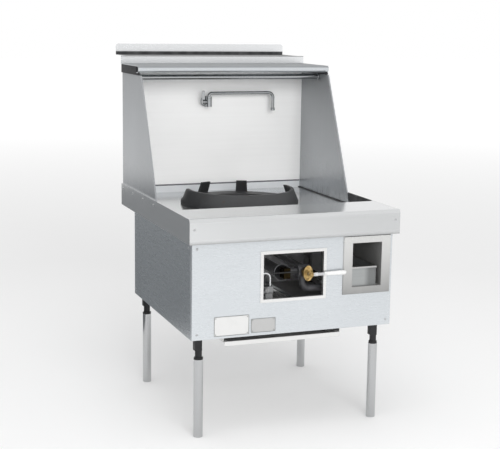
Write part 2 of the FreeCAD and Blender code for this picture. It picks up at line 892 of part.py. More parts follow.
def make_valve_lever():
    front = front_y + lever_front
    back = front + lever_thickness
    hub = rod(valve_axis(front), valve_axis(back), lever_hub_radius)
    end = valve_x + lever_length - grip_length
    arm = block(valve_x, end, front, back, valve_z - lever_width / 2, valve_z + lever_width / 2)
    return joined([hub, arm])


def make_lever_grip():
    middle = front_y + lever_front + lever_thickness / 2
    x0 = valve_x + lever_length - grip_length
    x1 = valve_x + lever_length
    grip = block(x0, x1, middle - grip_thickness / 2, middle + grip_thickness / 2,
                 valve_z - grip_width / 2, valve_z + grip_width / 2)
    return grip.makeFillet(grip_thickness * grip_round_share, edges_along(grip, X, lambda p: True))


def make_gas_inlet_pipe():
    start = Vector(valve_x, valve_y, valve_z - valve_radius - sheet)
    low = Vector(valve_x, valve_y, gas_pipe_z)
    side = Vector(gas_pipe_x, valve_y, gas_pipe_z)
    end = Vector(gas_pipe_x, cabinet_rear + gas_pipe_tail, gas_pipe_z)
    shoulder = end - Y * gas_thread_length
    run = bent_pipe([start, low, side, shoulder], gas_pipe_bend, gas_pipe_radius, gas_pipe_wall)
    thread = pipe(shoulder, end, gas_thread_radius, gas_pipe_radius - gas_pipe_wall)
    return joined([run, thread])


def make_gas_injector():
    half = injector_width / 2
    low = min(valve_z, venturi_z) - half
    high = max(valve_z, venturi_z) + half
    back = valve_y + injector_length - half
    body = block(burner_offset - half, burner_offset + half, valve_y - half, back, low, high)
    root = Vector(burner_offset, back, venturi_z)
    nozzle = Part.makeCone(injector_radius, injector_radius / 2, injector_nozzle, root, Y)
    return joined([body, nozzle])


def make_pilot_cock():
    z0 = window_bottom + cock_rise
    body = block(cock_left, cock_left + cock_width, cock_y, cock_rear, z0, z0 + cock_height)
    peg_hole = rod(Vector(knob_x, cock_y - gap, z0 + cock_height / 2),
                   Vector(knob_x, cock_y + knob_peg_length + gap, z0 + cock_height / 2),
                   knob_peg_radius + running_gap)
    return body.cut(peg_hole)


def make_pilot_knob():
    z = window_bottom + cock_rise + cock_height / 2
    back = Vector(knob_x, cock_y - gap, z)
    knob = rod(back - Y * knob_length, back, knob_radius)
    bar = block(knob_x - knob_peg_radius, knob_x + knob_peg_radius, back.y - knob_length - knob_peg_radius,
                back.y - knob_length, z - knob_radius, z + knob_radius)
    peg = rod(back, Vector(knob_x, cock_y + knob_peg_length, z), knob_peg_radius)
    return joined([knob, bar, peg])


def make_pilot_bracket():
    half = cock_bracket_width / 2
    middle = cock_left + cock_width / 2
    x0 = middle - half
    x1 = middle + half
    wall = cock_bracket_wall
    seat_z = window_bottom + cock_rise
    step_z = window_bottom - sheet - 2 * wall
    rise_y = panel_y + trim_depth + wall
    rail_top = cabinet_bottom + angle_leg
    tab = block(x0, x1, panel_back, panel_back + wall, rail_top, step_z)
    step = block(x0, x1, panel_back, rise_y + wall, step_z, step_z + wall)
    riser = block(x0, x1, rise_y, rise_y + wall, step_z + wall, seat_z)
    seat = block(x0, x1, rise_y + wall, cock_rear, seat_z - wall, seat_z)
    return joined([tab, step, riser, seat])


def make_pilot_tube():
    y = pilot_tube_y
    start = Vector(pilot_tube_x, y, window_bottom + cock_rise + cock_height)
    bend_up = Vector(pilot_tube_x, y, pilot_z)
    left = Vector(pilot_side_x, y, pilot_z)
    back = Vector(pilot_side_x, burner_y, pilot_z)
    end = Vector(burner_offset - pilot_offset - pilot_block / 2, burner_y, pilot_z)
    return bent_rod([start, bend_up, left, back, end], pilot_bend, pilot_tube_radius)


def make_pilot_burner():
    x = burner_offset - pilot_offset
    half = pilot_block / 2
    top = pilot_z + half
    body = block(x - half, x + half, burner_y - half, burner_y + half, pilot_z - half, top)
    arm_end = burner_y + bar_spacing / 2 - bar_width / 2
    arm = block(x - half, x + half, burner_y + half, arm_end, bar_z - half / 2, drum_z)
    seat = Vector(x, burner_y, top)
    nozzle = rod(seat, seat + Z * pilot_nozzle_height, pilot_nozzle_radius)
    return joined([body, arm, nozzle])


def make_pilot_feed_tube():
    start = Vector(valve_x - valve_length / 2, feed_y, valve_z)
    corner = Vector(feed_x, feed_y, valve_z)
    end = Vector(feed_x, feed_y, window_bottom + cock_rise + cock_height)
    return bent_rod([start, corner, end], pilot_bend, feed_radius)


def make_drip_tray():
    middle = tray_offset
    half = tray_width / 2
    pan = half - tray_flange
    low = tray_top - tray_height
    y1 = panel_back + tray_length
    shell = block(middle - pan, middle + pan, panel_y, y1, low, tray_top)
    shell = shell.cut(block(middle - pan + sheet, middle + pan - sheet, panel_back, y1 - sheet,
                            low + sheet, tray_top + cut_margin))
    flanges = [block(x0, x1, panel_back, y1, tray_top - sheet, tray_top) for x0, x1 in
               ((middle - half, middle - pan), (middle + pan, middle + half))]
    lip = block(middle - half, middle + half, panel_y, panel_back, low, tray_top)
    return joined([shell, lip] + flanges)


def make_tray_runner(side):
    middle = tray_offset
    flange_edge = tray_width / 2
    ledge_top = tray_top - sheet - gap
    web = flange_edge + runner_web_gap
    y0 = panel_back + runner_front
    y1 = cabinet_rear - sheet

    def strip(near, far, z0, z1):
        x0, x1 = sorted((middle + side * near, middle + side * far))
        return block(x0, x1, y0, y1, z0, z1)

    ledge = strip(flange_edge - tray_flange + runner_web_gap, web, ledge_top - sheet, ledge_top)
    upright = strip(web, web + sheet, ledge_top - sheet, cabinet_bottom)
    top = strip(web + sheet, web + sheet + runner_flange, cabinet_bottom - sheet, cabinet_bottom)
    return joined([ledge, upright, top])


def tap_axis(z):
    return Vector(tap_offset, tap_y, z)


def make_tap_flange():
    wall = Vector(tap_offset, splash_y, tap_z)
    flange = rod(wall - Y * tap_flange_thickness, wall, tap_flange_radius)
    rim = edges_round(flange, wall.y - tap_flange_thickness)
    flange = flange.makeFillet(tap_flange_thickness / 2, rim)
    return flange.cut(rod(wall - Y * (tap_flange_thickness + gap), wall + Y * gap, tail_radius + gap))


def make_tap_body():
    flange_front = splash_y - tap_flange_thickness
    barrel = rod(tap_axis(tap_z), Vector(tap_offset, flange_front, tap_z), tap_barrel_radius)
    tail = rod(Vector(tap_offset, flange_front, tap_z), Vector(tap_offset, rear_y, tap_z), tail_radius)
    top = tap_z + tap_post_rise
    post = rod(tap_axis(tap_z - tap_post_drop), tap_axis(top), tap_post_radius)
    boss_end = tap_axis(tap_z) - X * handle_boss
    boss = rod(boss_end, tap_axis(tap_z), handle_boss_radius)
    body = joined([barrel, tail, post, boss])
    body = body.cut(rod(tap_axis(top - swivel_depth), tap_axis(top + gap), swivel_radius + running_gap))
    peg_hole = rod(boss_end - X * gap, boss_end + X * (handle_peg_length + gap),
                   handle_peg_radius + running_gap)
    return body.cut(peg_hole)


def make_tap_spout():
    top = tap_z + tap_post_rise + gap
    neck_top = top + spout_collar
    run_z = neck_top + spout_rise
    tip = Vector(tap_offset + spout_reach, tap_y, run_z - spout_drop)
    corner = Vector(tap_offset + spout_reach, tap_y, run_z)
    split = Vector(tap_offset + spout_reach / 2, tap_y, run_z)
    peg = rod(tap_axis(top - swivel_depth + gap), tap_axis(top), swivel_radius)
    collar = rod(tap_axis(top), tap_axis(neck_top), tap_post_radius)
    neck = bent_rod([tap_axis(neck_top), tap_axis(run_z), split], spout_neck_bend, spout_radius)
    arm = bent_pipe([split, corner, tip], spout_bend, spout_radius, spout_wall)
    return joined([peg, collar, neck, arm])


def make_tap_nozzle():
    tip_z = tap_z + tap_post_rise + gap + spout_collar + spout_rise - spout_drop
    tip = Vector(tap_offset + spout_reach, tap_y, tip_z)
    return pipe(tip - Z * nozzle_length, tip, nozzle_radius, spout_radius - spout_wall)


def make_tap_handle():
    face = tap_axis(tap_z) - X * (handle_boss + gap)
    end = face - X * handle_hub_length
    hub = rod(end, face, handle_hub_radius)
    peg = rod(face, face + X * handle_peg_length, handle_peg_radius)
    half = handle_thickness / 2
    arm = block(end.x, face.x, tap_y - half, tap_y + half, tap_z, tap_z + handle_length)
    arm = arm.makeFillet(half * handle_round_share, edges_along(arm, X, lambda p: p.z > tap_z + half))
    return joined([hub, peg, arm])


def water_pipe_y():
    return rear_y + water_pipe_behind


def make_water_supply_pipe():
    start = Vector(tap_offset, rear_y, tap_z)
    corner = Vector(tap_offset, water_pipe_y(), tap_z)
    end = Vector(tap_offset, water_pipe_y(), apron_z - water_pipe_drop)
    shoulder = end + Z * water_thread_length
    run = bent_pipe([start, corner, shoulder], water_pipe_bend, water_pipe_radius, water_pipe_wall)
    thread = pipe(end, shoulder, water_thread_radius, water_pipe_radius - water_pipe_wall)
    return joined([run, thread])


def make_pipe_clips():
    half = clip_width / 2
    back = water_pipe_y() + water_pipe_radius + clip_wall
    clips = []
    seats = [(well_back, top_z + rise) for rise in clip_rises]
    seats.append((rear_y, (top_z + apron_z) / 2))
    for y0, z in seats:
        clip = block(tap_offset - half, tap_offset + half, y0, back, z, z + clip_height)
        hole = rod(Vector(tap_offset, water_pipe_y(), z - sheet),
                   Vector(tap_offset, water_pipe_y(), z + clip_height + sheet), water_pipe_radius + gap)
        clips.append(clip.cut(hole))
    return group(clips)


def leg_places():
    x = half_width - leg_inset
    front = front_y + leg_front
    rear = rear_y - leg_rear
    return {"front_left": (-x, front), "front_right": (x, front),
            "rear_left": (-x, rear), "rear_right": (x, rear)}


def make_leg_sockets():
    sockets = []
    half = socket_size / 2
    low = cabinet_bottom - socket_height
    for x, y in leg_places().values():
        middle = x - socket_shift
        head = block(middle - half, middle + half, y - half, y + half, low, cabinet_bottom)
        post = rod(Vector(x, y, tube_height - stem_engaged), Vector(x, y, low), stem_post_radius)
        sockets.append(joined([head, post]))
    return group(sockets)


def make_leg_locknuts():
    nuts = []
    for x, y in leg_places().values():
        nut = hex_bar(Vector(x, y, tube_height), locknut_flats, Z * locknut_height)
        hole = rod(Vector(x, y, tube_height - sheet), Vector(x, y, tube_height + locknut_height + sheet),
                   stem_post_radius + running_gap)
        nuts.append(nut.cut(hole))
    return group(nuts)


def make_leg(place):
    x, y = leg_places()[place]
    tube = rod(Vector(x, y, 0), Vector(x, y, tube_height), tube_radius)
    hollow = rod(Vector(x, y, tube_foot), Vector(x, y, tube_height - tube_plug), tube_radius - tube_wall)
    bore = rod(Vector(x, y, tube_height - tube_plug - sheet), Vector(x, y, tube_height + sheet),
               stem_post_radius + gap)
    return tube.cut(hollow.fuse(bore))


def make_screws(seats):
    return group([screw(seat, outward, sheet) for seat, outward in seats])


right_guard = make_right_guard()
right_side_panel = make_right_side_panel()
right_shelf_cap = make_right_shelf_cap()

nodes = {
    "base_frame": make_base_frame(),
    "bay_floors": make_bay_floors(),
    "front_panel": make_front_panel(),
    "right_side_panel": right_side_panel,
    "left_side_panel": both_sides(right_side_panel)[1],
    "rear_panel": make_rear_panel(),
    "window_trim": make_window_trim(),
    "recess_bezel": make_recess_bezel(),
    "recess_liner": make_recess_liner(),
    "waste_basket": make_waste_basket(),
    "worktop": make_worktop(),
    "right_splash_guard": right_guard,
    "left_splash_guard": both_sides(right_guard)[1],
    "splashback": make_splashback(),
    "condiment_shelf": make_condiment_shelf(),
    "right_shelf_cap": right_shelf_cap,
    "left_shelf_cap": both_sides(right_shelf_cap)[1],
    "utensil_rail": make_utensil_rail(),
    "top_shelf": make_top_shelf(),
    "shelf_brackets": make_shelf_brackets(),
    "drain_spigot": make_drain_spigot(),
    "drain_strainer": make_drain_strainer(),
    "waste_spigot": make_waste_spigot(),
    "wok_ring": make_wok_ring(),
    "combustion_drum": make_combustion_drum(),
    "refractory_lining": make_refractory_lining(),
    "burner_head": make_burner_head(),
    "burner_bars": make_burner_bars(),
    "burner_venturi": make_burner_venturi(),
    "valve_body": make_valve_body(),
    "valve_bonnet": make_valve_bonnet(),
    "valve_stem": make_valve_stem(),
    "valve_lever": make_valve_lever(),
    "lever_grip": make_lever_grip(),
    "gas_inlet_pipe": make_gas_inlet_pipe(),
    "gas_injector": make_gas_injector(),
    "pilot_cock": make_pilot_cock(),
    "pilot_knob": make_pilot_knob(),
    "pilot_bracket": make_pilot_bracket(),
    "pilot_tube": make_pilot_tube(),
    "pilot_burner": make_pilot_burner(),
    "pilot_feed_tube": make_pilot_feed_tube(),
    "drip_tray": make_drip_tray(),
    "left_tray_runner": make_tray_runner(-1),
    "right_tray_runner": make_tray_runner(1),
    "tap_flange": make_tap_flange(),
    "tap_body": make_tap_body(),
    "tap_spout": make_tap_spout(),
    "tap_nozzle": make_tap_nozzle(),
    "tap_handle": make_tap_handle(),
    "water_supply_pipe": make_water_supply_pipe(),
    "pipe_clips": make_pipe_clips(),
    "leg_sockets": make_leg_sockets(),
    "leg_locknuts": make_leg_locknuts(),
    "worktop_screws": make_screws(worktop_screw_seats()),
    "panel_screws": make_screws(panel_screw_seats()),
}
for place in leg_places():
    nodes[place + "_leg"] = make_leg(place)

os.makedirs("parts", exist_ok=True)
for name, shape in nodes.items():
    shape.exportStep("parts/" + name + ".step")
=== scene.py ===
"""Looks of a free-standing wok range: its finishes, its modelled pieces and a plain stage.

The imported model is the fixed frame. Lengths are metres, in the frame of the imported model.
"""

import json
import math

import bpy
from mathutils import Matrix, Vector

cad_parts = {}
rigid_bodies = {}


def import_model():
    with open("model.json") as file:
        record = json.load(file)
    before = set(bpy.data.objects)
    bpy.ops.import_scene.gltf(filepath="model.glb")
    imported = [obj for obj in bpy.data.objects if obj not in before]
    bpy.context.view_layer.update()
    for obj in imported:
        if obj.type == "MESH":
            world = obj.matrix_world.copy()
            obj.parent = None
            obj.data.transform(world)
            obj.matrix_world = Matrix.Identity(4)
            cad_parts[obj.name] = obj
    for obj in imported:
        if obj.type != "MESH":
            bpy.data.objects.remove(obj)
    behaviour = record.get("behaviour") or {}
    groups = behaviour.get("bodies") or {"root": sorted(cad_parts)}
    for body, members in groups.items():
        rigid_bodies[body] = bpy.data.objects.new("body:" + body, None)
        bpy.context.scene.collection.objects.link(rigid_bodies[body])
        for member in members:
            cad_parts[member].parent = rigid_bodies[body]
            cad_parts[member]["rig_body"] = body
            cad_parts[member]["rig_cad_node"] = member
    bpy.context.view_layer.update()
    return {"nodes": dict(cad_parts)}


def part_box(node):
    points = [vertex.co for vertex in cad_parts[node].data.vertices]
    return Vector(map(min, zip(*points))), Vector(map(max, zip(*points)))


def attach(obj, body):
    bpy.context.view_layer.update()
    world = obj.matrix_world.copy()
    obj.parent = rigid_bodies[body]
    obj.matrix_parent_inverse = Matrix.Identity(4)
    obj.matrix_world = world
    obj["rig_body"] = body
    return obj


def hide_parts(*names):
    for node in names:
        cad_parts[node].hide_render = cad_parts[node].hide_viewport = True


bl_info = {
    "name": "Wok range looks",
    "version": (1, 0, 0),
    "blender": (4, 5, 0),
    "location": "View3D > Sidebar > Wok range",
    "description": "Finishes, modelled pieces and a plain stage for a wok range",
    "category": "Object",
}

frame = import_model()
nodes = frame["nodes"]

X, Y, Z = range(3)
FRONT = (0, -1, 0)
# Each side, and the way along X from its guard to the middle.
SIDES = (("left", 1), ("right", -1))
# Further out than any piece of the range, along every axis.
FAR = 9.0
# How far a piece goes into the face that it sits on.
LAP = 0.0002
# Points closer together than this are in one place.
NEAR = 0.0001
# A face looks along an axis when its direction has more than this share of it.
SQUARE_ON = 0.9


def tint(name, description, default):
    return bpy.props.FloatVectorProperty(name=name, description=description, default=default,
                                         subtype="COLOR", size=3, min=0.0, max=1.0)


def number(name, description, default, unit="NONE"):
    return bpy.props.FloatProperty(name=name, description=description, default=default, unit=unit)


class WokRangeFinishes(bpy.types.PropertyGroup):
    """Colours of the finishes, as plain reflectance. A few of them are painted shade or painted light."""

    panel: tint("Panels", "Bluish satin sheet of the cabinet", (0.66, 0.69, 0.715))
    worktop: tint("Worktop", "Satin sheet of the worktop and its apron", (0.65, 0.66, 0.665))
    # Painted light: a pale film that lifts the rear wall of the well as a bright reflection would.
    painted_wall_light: tint("Lime", "Film of dried water on the rear wall of the well", (0.82, 0.84, 0.86))
    # Painted shade: near-black on the right wall of the well and at the back of the top shelf.
    painted_shade: tint("Soot", "Burnt fat in the well and on the top shelf", (0.035, 0.035, 0.037))
    splash: tint("Splashback", "Pale sheet behind the ring", (0.94, 0.94, 0.935))
    shelf: tint("Top shelf", "Satin sheet of the top shelf", (0.79, 0.80, 0.81))
    shelf_grime: tint("Shelf grime", "Film on the shelf under the top shelf", (0.26, 0.27, 0.28))
    rail: tint("Rail and tap", "Dulled plate of the rail and the tap", (0.44, 0.455, 0.465))
    guard: tint("Splash guards", "Greyer sheet of the two sloping guards", (0.340, 0.352, 0.365))
    trim: tint("Trim", "Bright folded strip round the window, and the drip tray", (0.82, 0.82, 0.81))
    bezel: tint("Bezel", "Brushed frame of the recess", (0.74, 0.74, 0.73))
    liner: tint("Recess liner", "Stained sheet inside the recess", (0.34, 0.34, 0.335))
    basket: tint("Basket", "Dull sheet of the loose box", (0.30, 0.31, 0.31))
    smoke: tint("Smoke", "Greasy film on trays and shelves", (0.34, 0.34, 0.34))
    # Painted light: the inside film is pale so that it lifts the shaded inside of the cabinet and the
    # underside of the worktop.
    inside: tint("Inside", "Dull film on the faces inside the cabinet", (0.72, 0.72, 0.73))
    iron: tint("Cast iron", "Seasoned iron of the ring and burner", (0.064, 0.065, 0.067))
    drum: tint("Drum", "Scaled steel of the combustion drum", (0.24, 0.235, 0.23))
    clay: tint("Lining", "Fired lining of the drum", (0.46, 0.38, 0.29))
    paint: tint("Frame paint", "Grey paint of the base frame", (0.36, 0.365, 0.37))
    black: tint("Black paint", "Black paint of sockets and pipes", (0.014, 0.014, 0.015))
    brass: tint("Brass", "Turned brass of the gas fittings", (0.64, 0.45, 0.19))
    copper: tint("Copper", "Dulled copper of the water pipe", (0.58, 0.26, 0.14))
    bright: tint("Bright plate", "Plated and drawn metal", (0.74, 0.75, 0.76))
    grip: tint("Grip", "White moulded sleeve of the lever", (0.72, 0.72, 0.715))
    knob: tint("Knob", "Grey moulded knob of the pilot cock", (0.22, 0.22, 0.22))


class WokRangeSizes(bpy.types.PropertyGroup):
    """Sizes of the modelled trim."""

    hem_width: number("Hem width", "Folded hem of a guard, from front to back", 0.034, "LENGTH")
    bead_width: number("Bead width", "Beads of sealant", 0.005, "LENGTH")
    rim_thickness: number("Rim thickness", "Rim of the loose box", 0.0034, "LENGTH")
    rim_height: number("Rim height", "Rim of the loose box", 0.006, "LENGTH")
    plate_thickness: number("Plate thickness", "Bare plates on the front panel", 0.0008, "LENGTH")
    plate_corner: number("Plate corner", "Radius of the corners of the bare plates", 0.004, "LENGTH")
    plate_border: number("Plate border", "Steel left round the enamel of the bare plates", 0.0024, "LENGTH")
    cap_edge: number("Cap edge", "Radius of the edges of the shelf's end caps", 0.0012, "LENGTH")
    ring_edge: number("Ring edge", "Radius of the edges of the iron ring", 0.0022, "LENGTH")


class WokRangeStage(bpy.types.PropertyGroup):
    """Where the camera stands, and the light."""

    lens: number("Lens", "Focal length on a 36 mm sensor", 83.38, "CAMERA")
    eye: bpy.props.FloatVectorProperty(name="Eye", description="Where the camera stands", size=3,
                                       default=(-1.7707, -4.7568, 1.6588), subtype="TRANSLATION",
                                       unit="LENGTH")
    heading: number("Heading", "Turn of the view from straight ahead", math.radians(-20.73), "ROTATION")
    dip: number("Dip", "How far the camera looks down", math.radians(10.11), "ROTATION")
    roll: number("Roll", "Lean of the camera", math.radians(0.80), "ROTATION")
    floor_radius: number("Floor radius", "Half width of the pale floor", 40.0, "LENGTH")
    floor: tint("Floor", "Pale floor", (0.90, 0.90, 0.90))
    ambience: number("Ambience", "Light from all round", 0.75)
    key: number("Key lamp", "Soft lamp in front", 82.0, "POWER")
    top: number("Top lamp", "Soft lamp above", 60.0, "POWER")


class Graph:
    """A tree of shader nodes being built."""

    def __init__(self, tree):
        self.tree = tree

    def feed(self, socket, value):
        """Links a socket to another one, or sets it to a plain value."""
        if isinstance(value, bpy.types.NodeSocket):
            self.tree.links.new(value, socket)
        elif socket.type == "RGBA":
            socket.default_value = (*value, 1.0)
        else:
            socket.default_value = value

    def node(self, kind, inputs, **settings):
        """Adds a node, feeds the sockets that inputs names or counts, and gives its outputs."""
        made = self.tree.nodes.new(kind)
        for name, value in settings.items():
            setattr(made, name, value)
        for socket, value in inputs.items():
            self.feed(made.inputs[socket], value)
        return made.outputs

    def ramp(self, value, start, end, low=0.0, high=1.0):
        """Goes from low to high as value goes from start to end, and no further."""
        return self.node("ShaderNodeMapRange", dict(enumerate((value, start, end, low, high))))[0]

    def combine(self, operation, first, second):
        return self.node("ShaderNodeMath", {0: first, 1: second}, operation=operation)[0]

    def times(self, first, second):
        return self.combine("MULTIPLY", first, second)

    def seen_rays(self):
        """One where a ray comes from the camera, a reflection or glass."""
        rays = self.node("ShaderNodeLightPath", {})
        seen = self.combine("MAXIMUM", rays["Is Camera Ray"], rays["Is Glossy Ray"])
        return self.combine("MAXIMUM", seen, rays["Is Transmission Ray"])


class Finish(Graph):
    """A material being mixed, and the object coordinates that its patterns read."""

    def __init__(self, name, metallic, roughness):
        self.material = bpy.data.materials.new(name)
        self.material.use_nodes = True
        super().__init__(self.material.node_tree)
        self.shader = self.tree.nodes["Principled BSDF"]
        self.set("Metallic", metallic)
        self.set("Roughness", roughness)
        self.spot = self.node("ShaderNodeTexCoord", {})

    def set(self, name, value):
        self.feed(self.shader.inputs[name], value)

    def noise(self, scale, stretch=(1, 1, 1), detail=2.0):
        spot = self.node("ShaderNodeMapping", {"Vector": self.spot["Object"], "Scale": stretch})
        inputs = {"Vector": spot["Vector"], "Scale": scale, "Detail": detail}
        return self.node("ShaderNodeTexNoise", inputs)["Fac"]

    def cells(self, scale):
        return self.node("ShaderNodeTexVoronoi", {"Vector": self.spot["Object"], "Scale": scale})["Distance"]

    def along(self, axis, output="Object"):
        """The coordinate or the surface's own direction along one axis."""
        return self.node("ShaderNodeSeparateXYZ", {0: self.spot[output]})[axis]

    def mix(self, factor, first, second):
        """A colour between two others. The node's sockets for colours come after its other ones."""
        return self.node("ShaderNodeMix", {0: factor, 6: first, 7: second}, data_type="RGBA")[2]

    def film(self, faces, spans):
        """One where a runny film lies, on faces that look one way and between two places along each axis."""
        cover = self.ramp(self.noise(26.0, (1, 1, 0.1), detail=6.0), 0.3, 0.6, 0.93, 1.0)
        if faces:
            axis, way = faces
            looking = self.ramp(self.along(axis, "Normal"), 0.3 * way, 0.6 * way)
            cover = self.times(cover, looking)
        for axis, low, high, soft in spans:
            above = self.ramp(self.along(axis), low - soft, low + soft)
            below = self.ramp(self.along(axis), high - soft, high + soft, 1.0, 0.0)
            cover = self.times(cover, self.times(above, below))
        return cover

    def paint(self, factor, first, second):
        """Base colour from one tint to another."""
        self.set("Base Color", self.mix(factor, first, second))

    def relief(self, height, depth, edge):
        """Fine relief of a given depth, over edges that look rounded by edge."""
        bevel = self.node("ShaderNodeBevel", {"Radius": edge})
        inputs = {"Strength": 1.0, "Distance": depth, "Height": height, "Normal": bevel["Normal"]}
        self.set("Normal", self.node("ShaderNodeBump", inputs)["Normal"])


def shade(colour, level):
    return tuple(min(1.0, channel * level) for channel in colour)


def beyond(axis, start, soft):
    """The span of a film past a place along an axis."""
    return axis, start, FAR, soft


def up_to(axis, end, soft):
    """The span of a film as far as a place along an axis."""
    return axis, -FAR, end, soft


def satin_steel(name, colour, grain, roughness=0.28, clouds=0.03, metallic=1.0, films=()):
    """Brushed sheet with its grain along one axis, soft clouds and dull hand marks.

    Each film is a stain's colour, the axis and the way that the stained faces look, and spans: an axis with
    the lowest and highest place of the stain and how softly it ends. A film that names no faces or spans
    takes all.
    """
    grain_length = 45
    film_metallic = 0.2
    film_dulling = 0.4
    finish = Finish(name, metallic, roughness)
    stretch = [1.0, 1.0, 1.0]
    stretch[grain] = 1 / grain_length
    lines = finish.noise(750.0, stretch, detail=3.0)
    streaks = finish.noise(90.0, stretch)
    cloud = finish.noise(2.6)
    marks = finish.ramp(finish.noise(8.0, detail=5.0), 0.54, 0.74)
    level = finish.combine("ADD", finish.ramp(cloud, 0.3, 0.7, 0.0, 0.75),
                           finish.ramp(streaks, 0.3, 0.7, 0.0, 0.25))
    look = finish.mix(level, shade(colour, 1 - clouds), shade(colour, 1 + clouds))
    rough = finish.combine("ADD", finish.ramp(lines, 0.2, 0.8, roughness - 0.03, roughness + 0.03),
                           finish.times(marks, 0.02))
    stained = 0.0
    for stain, faces, spans in films:
        film = finish.film(faces, spans)
        look = finish.mix(film, look, stain)
        stained = finish.combine("MAXIMUM", stained, film)
    if films:
        finish.set("Metallic", finish.ramp(stained, 0.0, 1.0, metallic, film_metallic))
        rough = finish.combine("ADD", rough, finish.times(stained, film_dulling))
    finish.set("Base Color", look)
    finish.set("Roughness", rough)
    finish.relief(lines, 0.000004, edge=0.0012)
    return finish.material


def seasoned_iron(name, colour, metallic=0.55):
    """Sand-cast iron, seasoned with oil: coarse skin, dull and shinier patches, a little rust."""
    rust_brown = (0.085, 0.045, 0.026)
    finish = Finish(name, metallic, 0.5)
    skin = finish.noise(420.0, detail=4.0)
    pits = finish.ramp(finish.cells(160.0), 0.0, 0.35)
    patches = finish.noise(11.0, detail=4.0)
    rust = finish.ramp(finish.noise(26.0, detail=6.0), 0.62, 0.74, 0.0, 0.5)
    body = finish.mix(patches, shade(colour, 0.6), shade(colour, 1.5))
    finish.paint(rust, body, rust_brown)
    finish.set("Roughness", finish.ramp(patches, 0.3, 0.7, 0.40, 0.66))
    finish.relief(finish.times(skin, pits), 0.0006, edge=0.002)
    return finish.material


def plated(name, colour, roughness=0.12):
    """Plated or drawn metal with faint smears."""
    finish = Finish(name, 1.0, roughness)
    smear = finish.noise(30.0, (1, 1, 0.3), detail=4.0)
    finish.paint(smear, shade(colour, 0.92), shade(colour, 1.06))
    finish.set("Roughness", finish.ramp(smear, 0.35, 0.7, roughness, roughness + 0.12))
    finish.relief(finish.noise(600.0), 0.00001, edge=0.0008)
    return finish.material


def turned_brass(name, colour, roughness=0.28):
    """Machined brass or copper, browner where it has tarnished."""
    finish = Finish(name, 1.0, roughness)
    tarnish = finish.ramp(finish.noise(55.0, detail=5.0), 0.45, 0.75)
    finish.paint(tarnish, colour, shade(colour, 0.45))
    finish.set("Roughness", finish.ramp(tarnish, 0.0, 1.0, roughness, roughness + 0.25))
    finish.relief(finish.noise(900.0, (1, 0.05, 1)), 0.00004, edge=0.0008)
    return finish.material


def painted(name, colour, gloss=0.5):
    """Stoved paint with an orange-peel skin and pale dust."""
    roughness = 0.42
    finish = Finish(name, 0.0, roughness)
    finish.set("Specular IOR Level", gloss)
    dust = finish.noise(14.0, detail=5.0)
    finish.paint(finish.ramp(dust, 0.4, 0.75), colour, shade(colour, 1.9))
    finish.set("Roughness", finish.ramp(dust, 0.3, 0.7, roughness - 0.08, roughness + 0.14))
    finish.relief(finish.noise(330.0), 0.0002, edge=0.0012)
    return finish.material


def moulded(name, colour, roughness=0.36, gloss=0.5, soiled=0.78):
    """Moulded plastic or enamel with a fine grain and a little grime, which darkens it to soiled."""
    finish = Finish(name, 0.0, roughness)
    finish.set("Specular IOR Level", gloss)
    grime = finish.ramp(finish.noise(40.0, detail=5.0), 0.5, 0.8)
    finish.paint(grime, colour, shade(colour, soiled))
    finish.set("Roughness", finish.ramp(grime, 0.0, 1.0, roughness, roughness + 0.2))
    finish.relief(finish.noise(1100.0), 0.00005, edge=0.0008)
    return finish.material


def fired_clay(name, colour):
    """Cast lining: sandy, cracked and smoked in patches."""
    finish = Finish(name, 0.0, 0.9)
    sand = finish.noise(520.0, detail=4.0)
    cracks = finish.ramp(finish.cells(24.0), 0.0, 0.06)
    smoke = finish.ramp(finish.noise(9.0, detail=4.0), 0.35, 0.7)
    finish.paint(smoke, colour, shade(colour, 0.22))
    finish.set("Roughness", finish.ramp(sand, 0.3, 0.7, 0.82, 0.98))
    finish.relief(finish.times(sand, cracks), 0.0008, edge=0.001)
    return finish.material


def dress(material, *names):
    """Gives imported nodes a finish."""
    for name in names:
        mesh = nodes[name].data
        mesh.materials.clear()
        mesh.materials.append(material)


def box_of(node):
    """Lowest corner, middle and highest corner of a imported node."""
    low, high = (Vector(corner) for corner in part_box(node))
    return low, (low + high) / 2, high


def inner_face(side):
    """Where the inner face of a splash guard lies along X."""
    low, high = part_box(side + "_splash_guard")
    return high[X] if side == "left" else low[X]


def alone(piece):
    """Selects one piece and nothing else."""
    bpy.ops.object.select_all(action="DESELECT")
    piece.select_set(True)
    bpy.context.view_layer.objects.active = piece


def open_whole(piece):
    """Opens a piece for editing with all of it selected."""
    alone(piece)
    bpy.ops.object.mode_set(mode="EDIT")
    bpy.ops.mesh.select_all(action="SELECT")


def done():
    """Closes the piece that is open for editing."""
    bpy.ops.object.mode_set(mode="OBJECT")


def freeze(piece):
    """Leaves a piece's place, turn and scale in its mesh."""
    alone(piece)
    bpy.ops.object.transform_apply(location=True, rotation=True, scale=True)
    return piece


def turned(profile, sides=48):
    """A closed solid turned about Z, from steps of radius and height, its ends flat."""
    radius, height = profile[0]
    bpy.ops.mesh.primitive_circle_add(vertices=sides, radius=radius, fill_type="NGON",
                                      location=(0, 0, height))
    bpy.ops.object.mode_set(mode="EDIT")
    for next_radius, next_height in profile[1:]:
        bpy.ops.mesh.extrude_region_move(TRANSFORM_OT_translate={"value": (0, 0, next_height - height)})
        size = next_radius / radius
        bpy.ops.transform.resize(value=(size, size, 1), center_override=(0, 0, 0))
        radius, height = next_radius, next_height
    bpy.ops.mesh.select_all(action="SELECT")
    bpy.ops.mesh.normals_make_consistent(inside=False)
    done()
    return freeze(bpy.context.object)


def block(low, high):
    """A box between two corners, the start of a folded or moulded piece."""
    low, high = Vector(low), Vector(high)
    bpy.ops.mesh.primitive_cube_add(size=1.0, location=(low + high) / 2, scale=high - low)
    return freeze(bpy.context.object)


